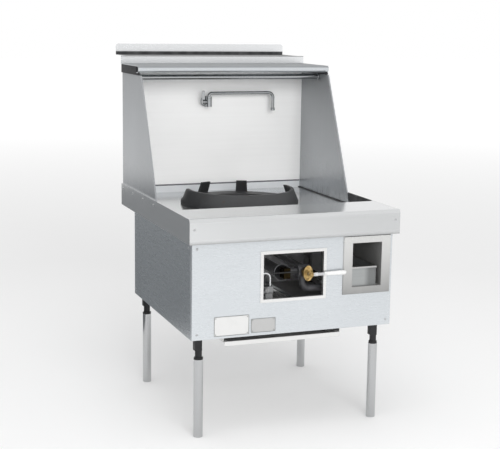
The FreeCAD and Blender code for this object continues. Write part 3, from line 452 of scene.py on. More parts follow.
def pick(piece, kind, wanted):
    """Opens a piece for editing with only the wanted faces or edges selected."""
    alone(piece)
    bpy.ops.object.mode_set(mode="EDIT")
    bpy.ops.mesh.select_mode(type=kind)
    bpy.ops.mesh.select_all(action="DESELECT")
    done()
    for item in piece.data.polygons if kind == "FACE" else piece.data.edges:
        item.select = wanted(item)
    bpy.ops.object.mode_set(mode="EDIT")


def pick_between(piece, wanted):
    """Opens a piece for editing with only the edges selected that run between wanted points."""
    points = piece.data.vertices
    pick(piece, "EDGE", lambda edge: all(wanted(points[end].co) for end in edge.vertices))


def set_down(piece, spot, facing, spin=0.0):
    """Turns a piece so that its Z faces a direction, and moves it to a spot."""
    aim = Vector(facing).to_track_quat("Z", "Y").to_matrix() @ Matrix.Rotation(spin, 3, "Z")
    piece.rotation_euler = aim.to_euler()
    piece.location = spot
    return freeze(piece)


def lay_along(piece, flatness, spot):
    """Flattens a turned piece from front to back, lays its axis along X and moves it to a spot."""
    piece.scale = (1.0, flatness, 1.0)
    freeze(piece)
    piece.rotation_euler = (0, math.pi / 2, 0)
    piece.location = spot
    return freeze(piece)


def twin(piece):
    """A copy with its own mesh."""
    alone(piece)
    bpy.ops.object.duplicate(linked=False)
    return bpy.context.object


def joined(pieces):
    """Joins pieces into the first one."""
    alone(pieces[0])
    for piece in pieces[1:]:
        piece.select_set(True)
    bpy.ops.object.join()
    return pieces[0]


def change(piece, kind, **settings):
    """Adds a modifier and applies it."""
    alone(piece)
    bpy.ops.object.modifier_add(type=kind)
    modifier = piece.modifiers[-1]
    for name, value in settings.items():
        setattr(modifier, name, value)
    bpy.ops.object.modifier_apply(modifier=modifier.name)
    return piece


def rounded(piece, width):
    """Rounds the sharp edges of a piece."""
    return change(piece, "BEVEL", width=width, segments=3, limit_method="ANGLE",
                  angle_limit=math.radians(35))


def cut(piece, tool):
    """Takes the solid of a tool out of a piece."""
    return change(piece, "BOOLEAN", operation="DIFFERENCE", solver="EXACT", object=tool)


def settle(piece, name, material, body, slot, *replaced):
    """Names a finished piece, gives it its finish and lets it ride on a body."""
    freeze(piece)
    bpy.ops.object.shade_smooth_by_angle(angle=math.radians(32))
    piece.name = name
    piece.data.materials.clear()
    piece.data.materials.append(material)
    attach(piece, body)
    if replaced:
        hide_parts(*replaced)


def merged_copy(node):
    """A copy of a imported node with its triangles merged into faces."""
    copy = nodes[node].copy()
    copy.data = nodes[node].data.copy()
    copy.parent = None
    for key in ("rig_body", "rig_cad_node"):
        del copy[key]
    bpy.context.collection.objects.link(copy)
    open_whole(copy)
    bpy.ops.mesh.remove_doubles(threshold=0.00001)
    bpy.ops.mesh.customdata_custom_splitnormals_clear()
    bpy.ops.mesh.dissolve_limited(angle_limit=math.radians(0.5))
    done()
    return copy


def solids_of(node):
    """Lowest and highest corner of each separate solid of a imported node."""
    open_whole(merged_copy(node))
    bpy.ops.mesh.separate(type="LOOSE")
    done()
    boxes = []
    for solid in list(bpy.context.selected_objects):
        # The first of the eight corners is the lowest, and the seventh the highest.
        corners = [Vector(corner) for corner in solid.bound_box]
        boxes.append((corners[0], corners[6]))
        bpy.data.objects.remove(solid)
    return boxes


class WOKRANGE_OT_sheet_steel(bpy.types.Operator):
    """Gives the folded sheet pieces their brushed steel"""

    bl_idname = "wokrange.sheet_steel"
    bl_label = "Sheet steel"

    def execute(self, context):
        tints = context.scene.wok_range_finishes
        self.dress_panels(tints)
        self.dress_worktop(tints)
        self.dress_walls(tints)
        self.dress_shelves(tints)
        self.dress_recess(tints)
        greasy = [(tints.smoke, (Z, 1), ())]
        dress(satin_steel("trim_steel", tints.trim, X, clouds=0.04), "window_trim")
        dress(satin_steel("rail_steel", tints.rail, X, roughness=0.2), "utensil_rail")
        dress(satin_steel("tray_steel", tints.trim, X, roughness=0.34, films=greasy),
              "drip_tray", "left_tray_runner", "right_tray_runner")
        dress(satin_steel("fitting_steel", tints.basket, Z, roughness=0.34),
              "shelf_brackets", "drain_spigot", "drain_strainer", "waste_spigot")
        dress(satin_steel("floor_steel", tints.basket, Y, roughness=0.4, films=greasy), "bay_floors")
        return {"FINISHED"}

    @staticmethod
    def dress_panels(tints):
        """Every panel has a pale dull film on its inner face, painted light, and the front panel is a darker
        copy of the steel, painted shade.
        """
        # Columns: grain, metallic, level and inner face. The front panel's lower level is painted shade, a
        # darker copy of the same steel; the pale film on each inner face is painted light that lifts the
        # shaded inside.
        panels = {"front_panel": (X, 0.75, 0.94, (Y, 1)), "left_side_panel": (Y, 1.0, 1.0, (X, 1)),
                  "right_side_panel": (Y, 1.0, 1.0, (X, -1)), "rear_panel": (X, 1.0, 1.0, (Y, -1))}
        for name, (grain, metallic, level, inside) in panels.items():
            dress(satin_steel(name + "_steel", shade(tints.panel, level), grain, metallic=metallic,
                              films=[(tints.inside, inside, ())]), name)

    @staticmethod
    def dress_worktop(tints):
        """Painted light on the rear wall of the well, painted shade on its right wall, and a painted shadow
        along the foot of the front fold.
        """
        sharp = 0.001
        fold_shade_rise = 0.007
        fold_shade_blur = 0.006
        behind_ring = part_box("wok_ring")[1][Y]
        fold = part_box("worktop")[0][Z]
        # The films are: the pale inside film under the worktop, painted light; a pale film on the well's rear
        # wall, painted light; near-black painted shade on the well's right wall; a painted shadow along the
        # foot of the front fold.
        films = [(tints.inside, (Z, -1), ()),
                 (tints.painted_wall_light, (Y, -1), [beyond(Y, behind_ring, sharp)]),
                 (tints.painted_shade, (X, -1), [beyond(X, 0.0, sharp)]),
                 (shade(tints.worktop, 0.5), (Y, -1), [up_to(Z, fold + fold_shade_rise, fold_shade_blur)])]
        dress(satin_steel("worktop_steel", tints.worktop, X, roughness=0.17, metallic=0.9, films=films),
              "worktop")

    @staticmethod
    def dress_walls(tints):
        """The splashback is dull behind, and a duller, darker film thickens towards the top of the guards:
        painted shade.
        """
        guard_shade_drop = 0.05
        guard_shade_blur = 0.35
        dress(satin_steel("splash_steel", tints.splash, X, roughness=0.42, clouds=0.04, metallic=0.1,
                          films=[(tints.guard, (Y, 1), ())]), "splashback")
        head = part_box("left_splash_guard")[1][Z]
        # Painted shade: a darker, duller film towards the top of the guards.
        films = [(shade(tints.guard, 0.9), None, [beyond(Z, head - guard_shade_drop, guard_shade_blur)])]
        dress(satin_steel("guard_steel", shade(tints.guard, 1.16), Z, clouds=0.06, films=films),
              "left_splash_guard", "right_splash_guard")

    @staticmethod
    def dress_shelves(tints):
        """Grease lies on both shelves, and painted shade darkens the rear of the upper one's flat and the
        foot of its upstand.
        """
        shelf_shade_reach = 0.10
        shelf_shade_blur = 0.08
        flat_height = 0.010
        upstand_height = 0.017
        sharp = 0.002
        dress(satin_steel("shelf_steel", shade(tints.panel, 0.91), X, roughness=0.24, metallic=0.8,
                          films=[(tints.shelf_grime, (Z, 1), ())]), "condiment_shelf")
        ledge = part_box("condiment_shelf")[1][Z]
        # Painted shade: a near-black shadow band over the rear of the flat and at the foot of the upstand.
        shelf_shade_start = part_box("top_shelf")[1][Y] - shelf_shade_reach
        on_flat = [beyond(Y, shelf_shade_start, shelf_shade_blur), up_to(Z, ledge + flat_height, sharp)]
        on_upstand = [(Z, ledge, ledge + upstand_height, sharp)]
        films = [(tints.smoke, (Z, 1), ()), (tints.painted_shade, (Z, 1), on_flat), (tints.painted_shade, (Y, -1), on_upstand)]
        dress(satin_steel("top_shelf_steel", tints.shelf, X, roughness=0.24, metallic=0.8, films=films),
              "top_shelf")

    @staticmethod
    def dress_recess(tints):
        """The bezel is darker near its foot, painted shade, and the loose box darker over the right part of
        its front, a painted reflection.
        """
        bezel_shade_rise = 0.11
        lighter_share = 0.62
        reflection_blur = 0.012
        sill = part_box("recess_bezel")[0][Z]
        # Painted shade: the bezel darkens towards its foot.
        stain = (shade(tints.bezel, 0.36), None, [up_to(Z, sill + bezel_shade_rise, bezel_shade_rise)])
        dress(satin_steel("bezel_steel", tints.bezel, Z, clouds=0.06, films=[stain]), "recess_bezel")
        dress(satin_steel("liner_steel", tints.liner, Y, roughness=0.45, metallic=0.4), "recess_liner")
        low, _, high = box_of("waste_basket")
        lighter_end = low.x + lighter_share * (high.x - low.x)
        # Painted reflection: the basket is darker over the right part of its front.
        stain = (shade(tints.basket, 0.55), (Y, -1), [beyond(X, lighter_end, reflection_blur)])
        dress(satin_steel("basket_steel", shade(tints.basket, 1.2), X, roughness=0.34, clouds=0.1,
                          metallic=0.6, films=[stain]), "waste_basket")


class WOKRANGE_OT_frame(bpy.types.Operator):
    """Paints the frame with its bars and brackets, and finishes the legs"""

    bl_idname = "wokrange.frame"
    bl_label = "Frame and legs"

    def execute(self, context):
        tints = context.scene.wok_range_finishes
        dress(painted("frame_paint", tints.paint), "base_frame", "burner_bars")
        dress(painted("bracket_paint", shade(tints.paint, 0.3)), "pilot_bracket", "pipe_clips")
        dress(painted("socket_paint", tints.black, gloss=0.3), "leg_sockets", "leg_locknuts")
        dress(satin_steel("leg_steel", shade(tints.bright, 0.7), Z, roughness=0.2),
              "front_left_leg", "front_right_leg", "rear_left_leg", "rear_right_leg")
        return {"FINISHED"}


class WOKRANGE_OT_fittings(bpy.types.Operator):
    """Finishes the fittings for gas and water"""

    bl_idname = "wokrange.fittings"
    bl_label = "Gas and water fittings"

    def execute(self, context):
        tints = context.scene.wok_range_finishes
        dress(painted("black_pipe", shade(tints.black, 3.5)), "gas_inlet_pipe", "valve_body")
        # The injector and pilot burner are brass darkened almost to black: partly soot, partly painted shade
        # in the dark drum.
        dress(turned_brass("sooty_brass_and_painted_shade", shade(tints.brass, 0.045), 0.55), "gas_injector", "pilot_burner")
        dress(plated("drawn_tube", tints.bright, 0.22), "pilot_tube")
        dress(plated("smoked_tube", shade(tints.bright, 0.10), 0.4), "pilot_feed_tube")
        dress(plated("cock_plate", shade(tints.bright, 0.35), 0.35), "pilot_cock")
        dress(plated("lever_plate", shade(tints.bright, 0.8)), "valve_stem", "valve_lever")
        dress(plated("tap_plate", tints.rail), "tap_flange", "tap_body", "tap_spout", "tap_handle")
        dress(turned_brass("dull_copper", tints.copper, 0.34), "water_supply_pipe")
        return {"FINISHED"}


class WOKRANGE_OT_valve(bpy.types.Operator):
    """Turns the brass bonnet with its oval gland, and the domed nut and the ferrule of the lever"""

    bl_idname = "wokrange.valve"
    bl_label = "Valve"

    bonnet_spin = math.radians(12)
    gland_narrowing = 0.64
    stud_rise = 0.0232
    bore_radius = 0.0054
    bore_start = 0.0140
    bore_end = 0.0500
    ferrule_start = 0.016
    ferrule_flatness = 0.55

    def execute(self, context):
        tints = context.scene.wok_range_finishes
        _, middle, high = box_of("valve_bonnet")
        seat = (middle.x, high.y, middle.z)
        bonnet = set_down(self.make_bonnet(), seat, FRONT, spin=self.bonnet_spin)
        # Painted shade: the bonnet is a darker copy of the gland's brass, on the part that recedes into the
        # window.
        settle(bonnet, "brass_bonnet", turned_brass("bonnet_brass_painted_shade", shade(tints.brass, 0.3)),
               "range_body", "brass", "valve_bonnet")
        gland = set_down(self.make_gland(), seat, FRONT)
        settle(gland, "oval_gland", turned_brass("gland_brass", tints.brass), "range_body", "brass")

        low, lever_middle, _ = box_of("valve_lever")
        nut = set_down(self.make_lever_nut(), (middle.x, low.y, middle.z), FRONT)
        settle(nut, "lever_nut", turned_brass("nut_brass", shade(tints.brass, 0.7)), "valve_lever", "brass")
        ferrule = lay_along(self.make_ferrule(), self.ferrule_flatness,
                            (middle.x + self.ferrule_start, lever_middle.y, middle.z))
        settle(ferrule, "lever_ferrule", plated("ferrule_plate", tints.bright, 0.16), "valve_lever", "chrome")
        return {"FINISHED"}

    def bored(self, piece):
        """Drills the way of the stem along Z."""
        drill = turned(((self.bore_radius, self.bore_start), (self.bore_radius, self.bore_end)))
        cut(piece, drill)
        bpy.data.objects.remove(drill)
        return piece

    def make_bonnet(self):
        """A hexagon under a grooved neck."""
        flats = turned(((0.0190, 0.0), (0.0206, 0.0014), (0.0206, 0.0150), (0.0190, 0.0164)), sides=6)
        neck = turned(((0.0165, 0.0150), (0.0172, 0.0166), (0.0172, 0.0200), (0.0158, 0.0206),
                       (0.0158, 0.0222), (0.0172, 0.0228), (0.0172, 0.0276)))
        return joined([rounded(flats, 0.0006), self.bored(rounded(neck, 0.0004))])

    def make_gland(self):
        """An upright oval plate round the packing nut, held by a stud and a nut at each end."""
        plate = turned(((0.0300, 0.0270), (0.0320, 0.0284), (0.0320, 0.0332), (0.0300, 0.0346)), sides=64)
        plate.scale = (self.gland_narrowing, 1.0, 1.0)
        packing = turned(((0.0130, 0.0340), (0.0142, 0.0350), (0.0142, 0.0374), (0.0128, 0.0386)), sides=6)
        pieces = [self.bored(freeze(plate)), self.bored(rounded(packing, 0.0005))]
        for rise in (-self.stud_rise, self.stud_rise):
            nut = turned(((0.0044, 0.0344), (0.0050, 0.0350), (0.0050, 0.0376), (0.0044, 0.0382)), sides=6)
            stud = turned(((0.0026, 0.0380), (0.0026, 0.0396), (0.0014, 0.0402)), sides=20)
            fixing = joined([rounded(nut, 0.0003), stud])
            fixing.location = (0.0, rise, 0.0)
            pieces.append(freeze(fixing))
        return joined(pieces)

    @staticmethod
    def make_lever_nut():
        """A washer, a hexagon and a dome."""
        washer = turned(((0.0118, -LAP), (0.0124, 0.0010), (0.0110, 0.0014)))
        nut = turned(((0.0080, 0.0010), (0.0087, 0.0016), (0.0087, 0.0042), (0.0076, 0.0048)), sides=6)
        dome = turned(((0.0066, 0.0044), (0.0064, 0.0062), (0.0054, 0.0077), (0.0036, 0.0087),
                       (0.0014, 0.0091)))
        return joined([washer, rounded(nut, 0.0003), dome])

    @staticmethod
    def make_ferrule():
        """A collar, a groove and a sleeve."""
        return turned(((0.0072, 0.0), (0.0084, 0.0008), (0.0084, 0.0040), (0.0076, 0.0046), (0.0076, 0.0064),
                       (0.0084, 0.0070), (0.0084, 0.0150), (0.0072, 0.0160)))


class WOKRANGE_OT_lever_grip(bpy.types.Operator):
    """Moulds the ringed sleeve on the lever"""

    bl_idname = "wokrange.lever_grip"
    bl_label = "Lever grip"

    neck_share = 0.86
    groove_share = 0.76
    groove_count = 4
    groove_start = 0.0060
    groove_pitch = 0.0055

    def execute(self, context):
        tints = context.scene.wok_range_finishes
        low, middle, high = box_of("lever_grip")
        reach, depth, width = high - low
        sleeve = turned(self.sleeve_profile(reach, width / 2), sides=40)
        lay_along(sleeve, depth / width, (low.x, middle.y, middle.z))
        settle(sleeve, "grip_sleeve", moulded("grip_white", tints.grip), "valve_lever", "grip", "lever_grip")
        return {"FINISHED"}

    def sleeve_profile(self, reach, radius):
        """A shoulder, a neck with grooves, and a swelling that ends in a dome."""
        neck = self.neck_share * radius
        groove = self.groove_share * radius
        profile = [(0.62 * radius, 0.0), (0.80 * radius, 0.0012), (neck, 0.0040)]
        for ring in range(self.groove_count):
            start = self.groove_start + self.groove_pitch * ring
            profile += [(neck, start), (groove, start + 0.0010), (groove, start + 0.0022),
                        (neck, start + 0.0032)]
        swelling = ((0.42, 0.90), (0.62, 0.97), (0.78, 1.0), (0.90, 0.97), (0.955, 0.86), (0.985, 0.64),
                    (1.0, 0.30))
        return profile + [(size * radius, share * reach) for share, size in swelling]


class WOKRANGE_OT_pilot_knob(bpy.types.Operator):
    """Moulds the fluted knob of the pilot cock"""

    bl_idname = "wokrange.pilot_knob"
    bl_label = "Pilot knob"

    flute_pitch = 30
    flute_start = 0.0042
    flute_rim = 0.0002
    flute_share = 0.92
    flute_lean = 0.3
    bar_half_width = 0.0026
    bar_height = 0.0046
    bar_share = 0.86

    def execute(self, context):
        tints = context.scene.wok_range_finishes
        low, middle, high = box_of("pilot_knob")
        skirt = high.x - middle.x
        deep = high.y - low.y
        knob = turned(((0.92 * skirt, 0.0), (skirt, 0.0006), (skirt, 0.0030), (0.84 * skirt, 0.0040),
                       (0.80 * skirt, deep - 0.0044), (0.70 * skirt, deep - 0.0032)), sides=72)
        pick(knob, "FACE", self.in_flute)
        bpy.ops.mesh.inset(thickness=self.flute_rim, use_individual=False)
        bpy.ops.transform.resize(value=(self.flute_share, self.flute_share, 1.0), center_override=(0, 0, 0))
        done()
        bar_reach = self.bar_share * skirt
        bar = block((-self.bar_half_width, -bar_reach, deep - self.bar_height),
                    (self.bar_half_width, bar_reach, deep))
        knob = joined([knob, rounded(bar, 0.0009)])
        set_down(knob, (middle.x, high.y, middle.z), FRONT)
        settle(knob, "fluted_knob", moulded("knob_grey", tints.knob), "pilot_knob", "knob", "pilot_knob")
        return {"FINISHED"}

    def in_flute(self, face):
        """Flutes and ribs take turns round the upright side of the knob."""
        upright = face.center.z > self.flute_start and abs(face.normal.z) < self.flute_lean
        angle = math.degrees(math.atan2(face.center.y, face.center.x))
        return upright and angle % self.flute_pitch < self.flute_pitch / 2


class WOKRANGE_OT_screws(bpy.types.Operator):
    """Makes the cross-slotted screws of the worktop and the panels"""

    bl_idname = "wokrange.screws"
    bl_label = "Screws"

    head_height = 0.002
    slot_reach = 0.0028
    slot_half_width = 0.0005
    slot_floor = 0.0009
    slot_top = 0.0030
    spin_step = 0.7

    def execute(self, context):
        tints = context.scene.wok_range_finishes
        steel = plated("screw_steel", shade(tints.bright, 0.8), 0.24)
        head = self.make_head()
        for node in ("worktop_screws", "panel_screws"):
            screws = []
            for low, high in solids_of(node):
                size = high - low
                axis = min(range(3), key=lambda way: size[way])
                middle = (low + high) / 2
                way = 1 if middle[axis] > 0 else -1
                facing = Vector((0, 0, 0))
                facing[axis] = way
                seat = middle.copy()
                seat[axis] = (high if way > 0 else low)[axis] - way * self.head_height
                screws.append(set_down(twin(head), seat, facing, spin=self.spin_step * len(screws)))
            settle(joined(screws), "slotted_" + node, steel, "range_body", "screw_steel", node)
        bpy.data.objects.remove(head)
        return {"FINISHED"}

    def make_head(self):
        """A domed head with two crossed slots."""
        head = turned(((0.0046, -2 * LAP), (0.0050, 0.0), (0.0049, 0.0006), (0.0042, 0.0013),
                       (0.0030, 0.0018), (0.0016, self.head_height)), sides=32)
        slot = block((-self.slot_reach, -self.slot_half_width, self.slot_floor),
                     (self.slot_reach, self.slot_half_width, self.slot_top))
        for angle in (0.0, math.pi / 2):
            slot.rotation_euler = (0, 0, angle)
            bpy.context.view_layer.update()
            cut(head, slot)
        bpy.data.objects.remove(slot)
        return head


class WOKRANGE_OT_blank_plates(bpy.types.Operator):
    """Rivets two bare plates to the front panel"""

    bl_idname = "wokrange.blank_plates"
    bl_label = "Blank plates"

    # Left, bottom, right and top edge of each plate.
    left_edges = (-0.340, 0.423, -0.193, 0.503)
    right_edges = (-0.185, 0.426, -0.080, 0.484)
    field_depth = 0.0003
    rivet_inset = 0.007

    def execute(self, context):
        tints = context.scene.wok_range_finishes
        sizes = context.scene.wok_range_sizes
        steel = satin_steel("plate_steel", tints.basket, X, roughness=0.3)
        white = moulded("white_enamel", shade(tints.grip, 0.84), 0.3, soiled=0.95)
        grey = moulded("grey_enamel", shade(tints.grip, 0.57), 0.3, soiled=0.95)
        self.rivet_plate(sizes, "left_blank_plate", steel, white, self.left_edges)
        self.rivet_plate(sizes, "right_blank_plate", steel, grey, self.right_edges)
        return {"FINISHED"}

    def rivet_plate(self, sizes, name, steel, enamel, edges):
        """A steel plate on the panel's face, with a sunk field of enamel and four rivets."""
        left, bottom, right, top = edges
        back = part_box("front_panel")[0][Y]
        front = back - sizes.plate_thickness
        plate = block((left, front, bottom), (right, back + LAP, top))
        points = plate.data.vertices

        def runs_back(edge):
            start, end = edge.vertices
            return abs(points[start].co.y - points[end].co.y) > NEAR

        pick(plate, "EDGE", runs_back)
        bpy.ops.mesh.bevel(offset=sizes.plate_corner, segments=5)
        done()
        pick(plate, "FACE", lambda face: face.normal.y < -SQUARE_ON)
        bpy.ops.mesh.inset(thickness=sizes.plate_border)
        bpy.ops.mesh.inset(thickness=self.field_depth)
        bpy.ops.transform.translate(value=(0, self.field_depth, 0))
        done()
        field = [face.index for face in plate.data.polygons if face.select]
        rivet = turned(((0.0022, -2 * LAP), (0.0022, 0.0003), (0.0017, 0.0008), (0.0008, 0.0011)), sides=20)
        rivets = []
        for x in (left + self.rivet_inset, right - self.rivet_inset):
            for z in (bottom + self.rivet_inset, top - self.rivet_inset):
                rivets.append(set_down(twin(rivet), (x, front, z), FRONT))
        bpy.data.objects.remove(rivet)
        settle(joined([plate, *rivets]), name, steel, "range_body", "trim_steel")
        plate.data.materials.append(enamel)
        for index in field:
            plate.data.polygons[index].material_index = 1


class WOKRANGE_OT_tap_details(bpy.types.Operator):
    """Turns the grooved nozzle and the union nut of the tap"""

    bl_idname = "wokrange.tap_details"
    bl_label = "Tap details"

    nut_spin = math.radians(8)

    def execute(self, context):
        tints = context.scene.wok_range_finishes
        chrome = plated("tap_chrome", tints.rail)
        low, middle, high = box_of("tap_nozzle")
        radius = high.x - middle.x
        groove = 0.9 * radius
        bottom, top = low.z - middle.z, high.z - middle.z
        nozzle = turned(((0.84 * radius, top), (radius, top - 0.0010), (radius, top - 0.0046),
                         (groove, top - 0.0050), (groove, top - 0.0060), (radius, top - 0.0064),
                         (radius, bottom + 0.0012), (0.92 * radius, bottom), (0.74 * radius, bottom),
                         (0.70 * radius, bottom + 0.0050)))
        nozzle.location = middle
        settle(nozzle, "grooved_nozzle", chrome, "tap_spout", "chrome", "tap_nozzle")

        low, middle, _ = box_of("tap_flange")
        nut = turned(((0.0150, 0.0), (0.0170, 0.0010), (0.0170, 0.0086), (0.0150, 0.0098)), sides=6)
        set_down(rounded(nut, 0.0005), (middle.x, low.y, middle.z), FRONT, spin=self.nut_spin)
        settle(nut, "tap_union_nut", chrome, "range_body", "chrome")
        return {"FINISHED"}


class WOKRANGE_OT_rail_collars(bpy.types.Operator):
    """Turns the collars where the rail meets the guards"""

    bl_idname = "wokrange.rail_collars"
    bl_label = "Rail collars"

    def execute(self, context):
        tints = context.scene.wok_range_finishes
        steel = plated("collar_steel", tints.rail, 0.2)
        low, middle, high = box_of("utensil_rail")
        radius = (high.z - low.z) / 2
        for side, way in SIDES:
            collar = turned(((radius + 0.0034, -LAP), (radius + 0.0036, 0.0030), (radius + 0.0026, 0.0046),
                             (radius + 0.0008, 0.0054), (radius + 0.0006, 0.0100), (radius, 0.0106)))
            set_down(collar, (inner_face(side), middle.y, middle.z), (way, 0, 0))
            settle(collar, side + "_rail_collar", steel, "range_body", "trim_steel")
        return {"FINISHED"}


class WOKRANGE_OT_guard_hems(bpy.types.Operator):
    """Folds the tapered hems along the sloping front edges of the guards"""

    bl_idname = "wokrange.guard_hems"
    bl_label = "Guard hems"

    proud = 0.0014
    sunk = 0.0029
    clearance = 0.0004
    edge_radius = 0.0010

    def execute(self, context):
        width = context.scene.wok_range_sizes.hem_width
        for side, way in SIDES:
            hem = self.fold_hem(side, way, width)
            steel = nodes[side + "_splash_guard"].data.materials[0]
            settle(hem, side + "_guard_hem", steel, "range_body", "panel_steel")
        return {"FINISHED"}

    def fold_hem(self, side, way, width):
        """A strip that is thickest at the guard's front edge and runs out on its inner face."""
        guard = side + "_splash_guard"
        low, _, high = box_of(guard)
        points = [point.co for point in nodes[guard].data.vertices]
        head = min(point.y for point in points if point.z > high.z - NEAR)
        slope = (head - low.y) / (high.z - low.z)
        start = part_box("worktop")[1][Z] + self.clearance
        front = low.y + slope * (start - low.z) + self.clearance
        middle = front + width / 2
        crest = inner_face(side) + self.proud * way
        root = inner_face(side) - self.sunk * way
        left, right = sorted((crest, root - LAP * way))
        hem = block((left, front, start), (right, front + width, high.z))
        pick_between(hem, lambda point: abs(point.x - crest) < NEAR and point.y < middle)
        bpy.ops.mesh.bevel(offset=self.edge_radius, segments=3)
        done()
        pick_between(hem, lambda point: abs(point.x - crest) < NEAR and point.y > middle)
        bpy.ops.transform.translate(value=(root - crest, 0, 0))
        done()
        pick(hem, "FACE", lambda face: face.normal.z > SQUARE_ON)
        bpy.ops.transform.translate(value=(0, slope * (high.z - start), 0))
        done()
        return hem


class WOKRANGE_OT_end_caps(bpy.types.Operator):
    """Moulds the end caps of the shelf, each with a tongue under the rolled front edge"""

    bl_idname = "wokrange.end_caps"
    bl_label = "Shelf end caps"

    tongue_drop = 0.0003
    tongue_setback = 0.006

    def execute(self, context):
        tints = context.scene.wok_range_finishes
        sizes = context.scene.wok_range_sizes
        black = moulded("cap_black", shade(tints.black, 3.0), 0.6, gloss=0.1)
        shelf, _, _ = box_of("condiment_shelf")
        tongue_top = shelf.z - self.tongue_drop
        tongue_front = shelf.y + self.tongue_setback
        for side, _ in SIDES:
            low, _, high = box_of(side + "_shelf_cap")
            cap = block(low, high)
            pick(cap, "FACE", lambda face: True)
            bpy.ops.mesh.bisect(plane_co=(0, 0, tongue_top), plane_no=(0, 0, 1))
            done()
            pick(cap, "FACE", lambda face: face.normal.y < -SQUARE_ON and face.center.z < tongue_top)
            bpy.ops.mesh.extrude_region_move(TRANSFORM_OT_translate={"value": (0, tongue_front - low.y, 0)})
            done()
            settle(rounded(cap, sizes.cap_edge), side + "_end_cap", black,
                   "range_body", "black_cap", side + "_shelf_cap")
        return {"FINISHED"}


class WOKRANGE_OT_seal_beads(bpy.types.Operator):
    """Runs beads, partly sealant and partly painted shadow, along the feet of the guards and the splashback
    """

    bl_idname = "wokrange.seal_beads"
    bl_label = "Sealant beads"

    setback = 0.004
    rear_height = 0.007
    hollow = 0.004

    def execute(self, context):
        tints = context.scene.wok_range_finishes
        width = context.scene.wok_range_sizes.bead_width
        # The dark beads at the guards' feet are partly sealant and partly painted shadow; the grey bead under
        # the splashback is painted shadow of its lower edge.
        dark = moulded("dark_sealant_painted_shadow", shade(tints.black, 2.0), 0.5)
        grey = moulded("grey_sealant_painted_shadow", shade(tints.black, 15.0), 0.5)
        for side, way in SIDES:
            bead = self.run_side_bead(side, way, width)
            settle(bead, side + "_seal_bead", dark, "range_body", "black_cap")
        settle(self.run_rear_bead(width), "rear_seal_and_shadow_bead", grey, "range_body", "black_cap")
        return {"FINISHED"}

    def run_side_bead(self, side, way, width):
        """A dark bead in the corner between a guard and the worktop, partly sealant and partly painted
        shadow.
        """
        low, _, _ = box_of(side + "_splash_guard")
        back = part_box("splashback")[0][Y]
        wall = inner_face(side)
        half = width / 2
        left, right = sorted((wall - LAP * way, wall + width * way))
        bead = block((left, low.y + self.setback, low.z), (right, back, low.z + width))
        return self.smoothed(bead, lambda point: abs(point.x - wall) > half and point.z > low.z + half)

    def run_rear_bead(self, width):
        """A greyer bead closes the joint under the lower edge of the splashback, and its grey stands in for
        the shadow of that edge.
        """
        low, _, high = box_of("splashback")
        front = high.y - width
        foot = low.z - self.rear_height
        bead = block((inner_face("left"), front, foot), (inner_face("right"), high.y + LAP, low.z))
        half = width / 2
        return self.smoothed(bead, lambda point: point.y < front + half and point.z < foot + half)

    def smoothed(self, bead, outside):
        """Draws a finger along the outside edge of a bead."""
        pick_between(bead, outside)
        bpy.ops.mesh.bevel(offset=self.hollow, segments=5, profile=0.3)
        done()
        return bead


class WOKRANGE_OT_basket_rim(bpy.types.Operator):
    """Rolls a bright rim round the mouth of the loose box"""

    bl_idname = "wokrange.basket_rim"
    bl_label = "Basket rim"

    overhang = 0.0010
    edge_radius = 0.0012

    def execute(self, context):
        tints = context.scene.wok_range_finishes
        sizes = context.scene.wok_range_sizes
        low, _, high = box_of("waste_basket")
        rim = block((low.x - self.overhang, low.y - self.overhang, high.z - sizes.rim_height),
                    (high.x + self.overhang, high.y + self.overhang, high.z + self.overhang))
        pick(rim, "FACE", lambda face: abs(face.normal.z) > SQUARE_ON)
        bpy.ops.mesh.inset(thickness=sizes.rim_thickness)
        bpy.ops.mesh.bridge_edge_loops()
        done()
        steel = satin_steel("rim_steel", shade(tints.bezel, 0.72), X)
        settle(rounded(rim, self.edge_radius), "basket_rim", steel, "waste_basket", "trim_steel")
        return {"FINISHED"}


class WOKRANGE_OT_burner(bpy.types.Operator):
    """Finishes the burner in its lined drum, and rounds the edges of the iron ring above it"""

    bl_idname = "wokrange.burner"
    bl_label = "Burner and ring"

    def execute(self, context):
        tints = context.scene.wok_range_finishes
        sizes = context.scene.wok_range_sizes
        # Painted light: the burner's iron is the ring's iron made paler, which lifts it in the shaded drum.
        dress(seasoned_iron("burner_iron_painted_light", shade(tints.iron, 3.2)), "burner_head", "burner_venturi")
        dress(seasoned_iron("scaled_drum", tints.drum, metallic=0.3), "combustion_drum")
        dress(fired_clay("fired_lining", tints.clay), "refractory_lining")
        ring = rounded(merged_copy("wok_ring"), sizes.ring_edge)
        settle(ring, "cast_ring", seasoned_iron("cast_iron", tints.iron), "wok_ring", "cast_iron", "wok_ring")
        return {"FINISHED"}


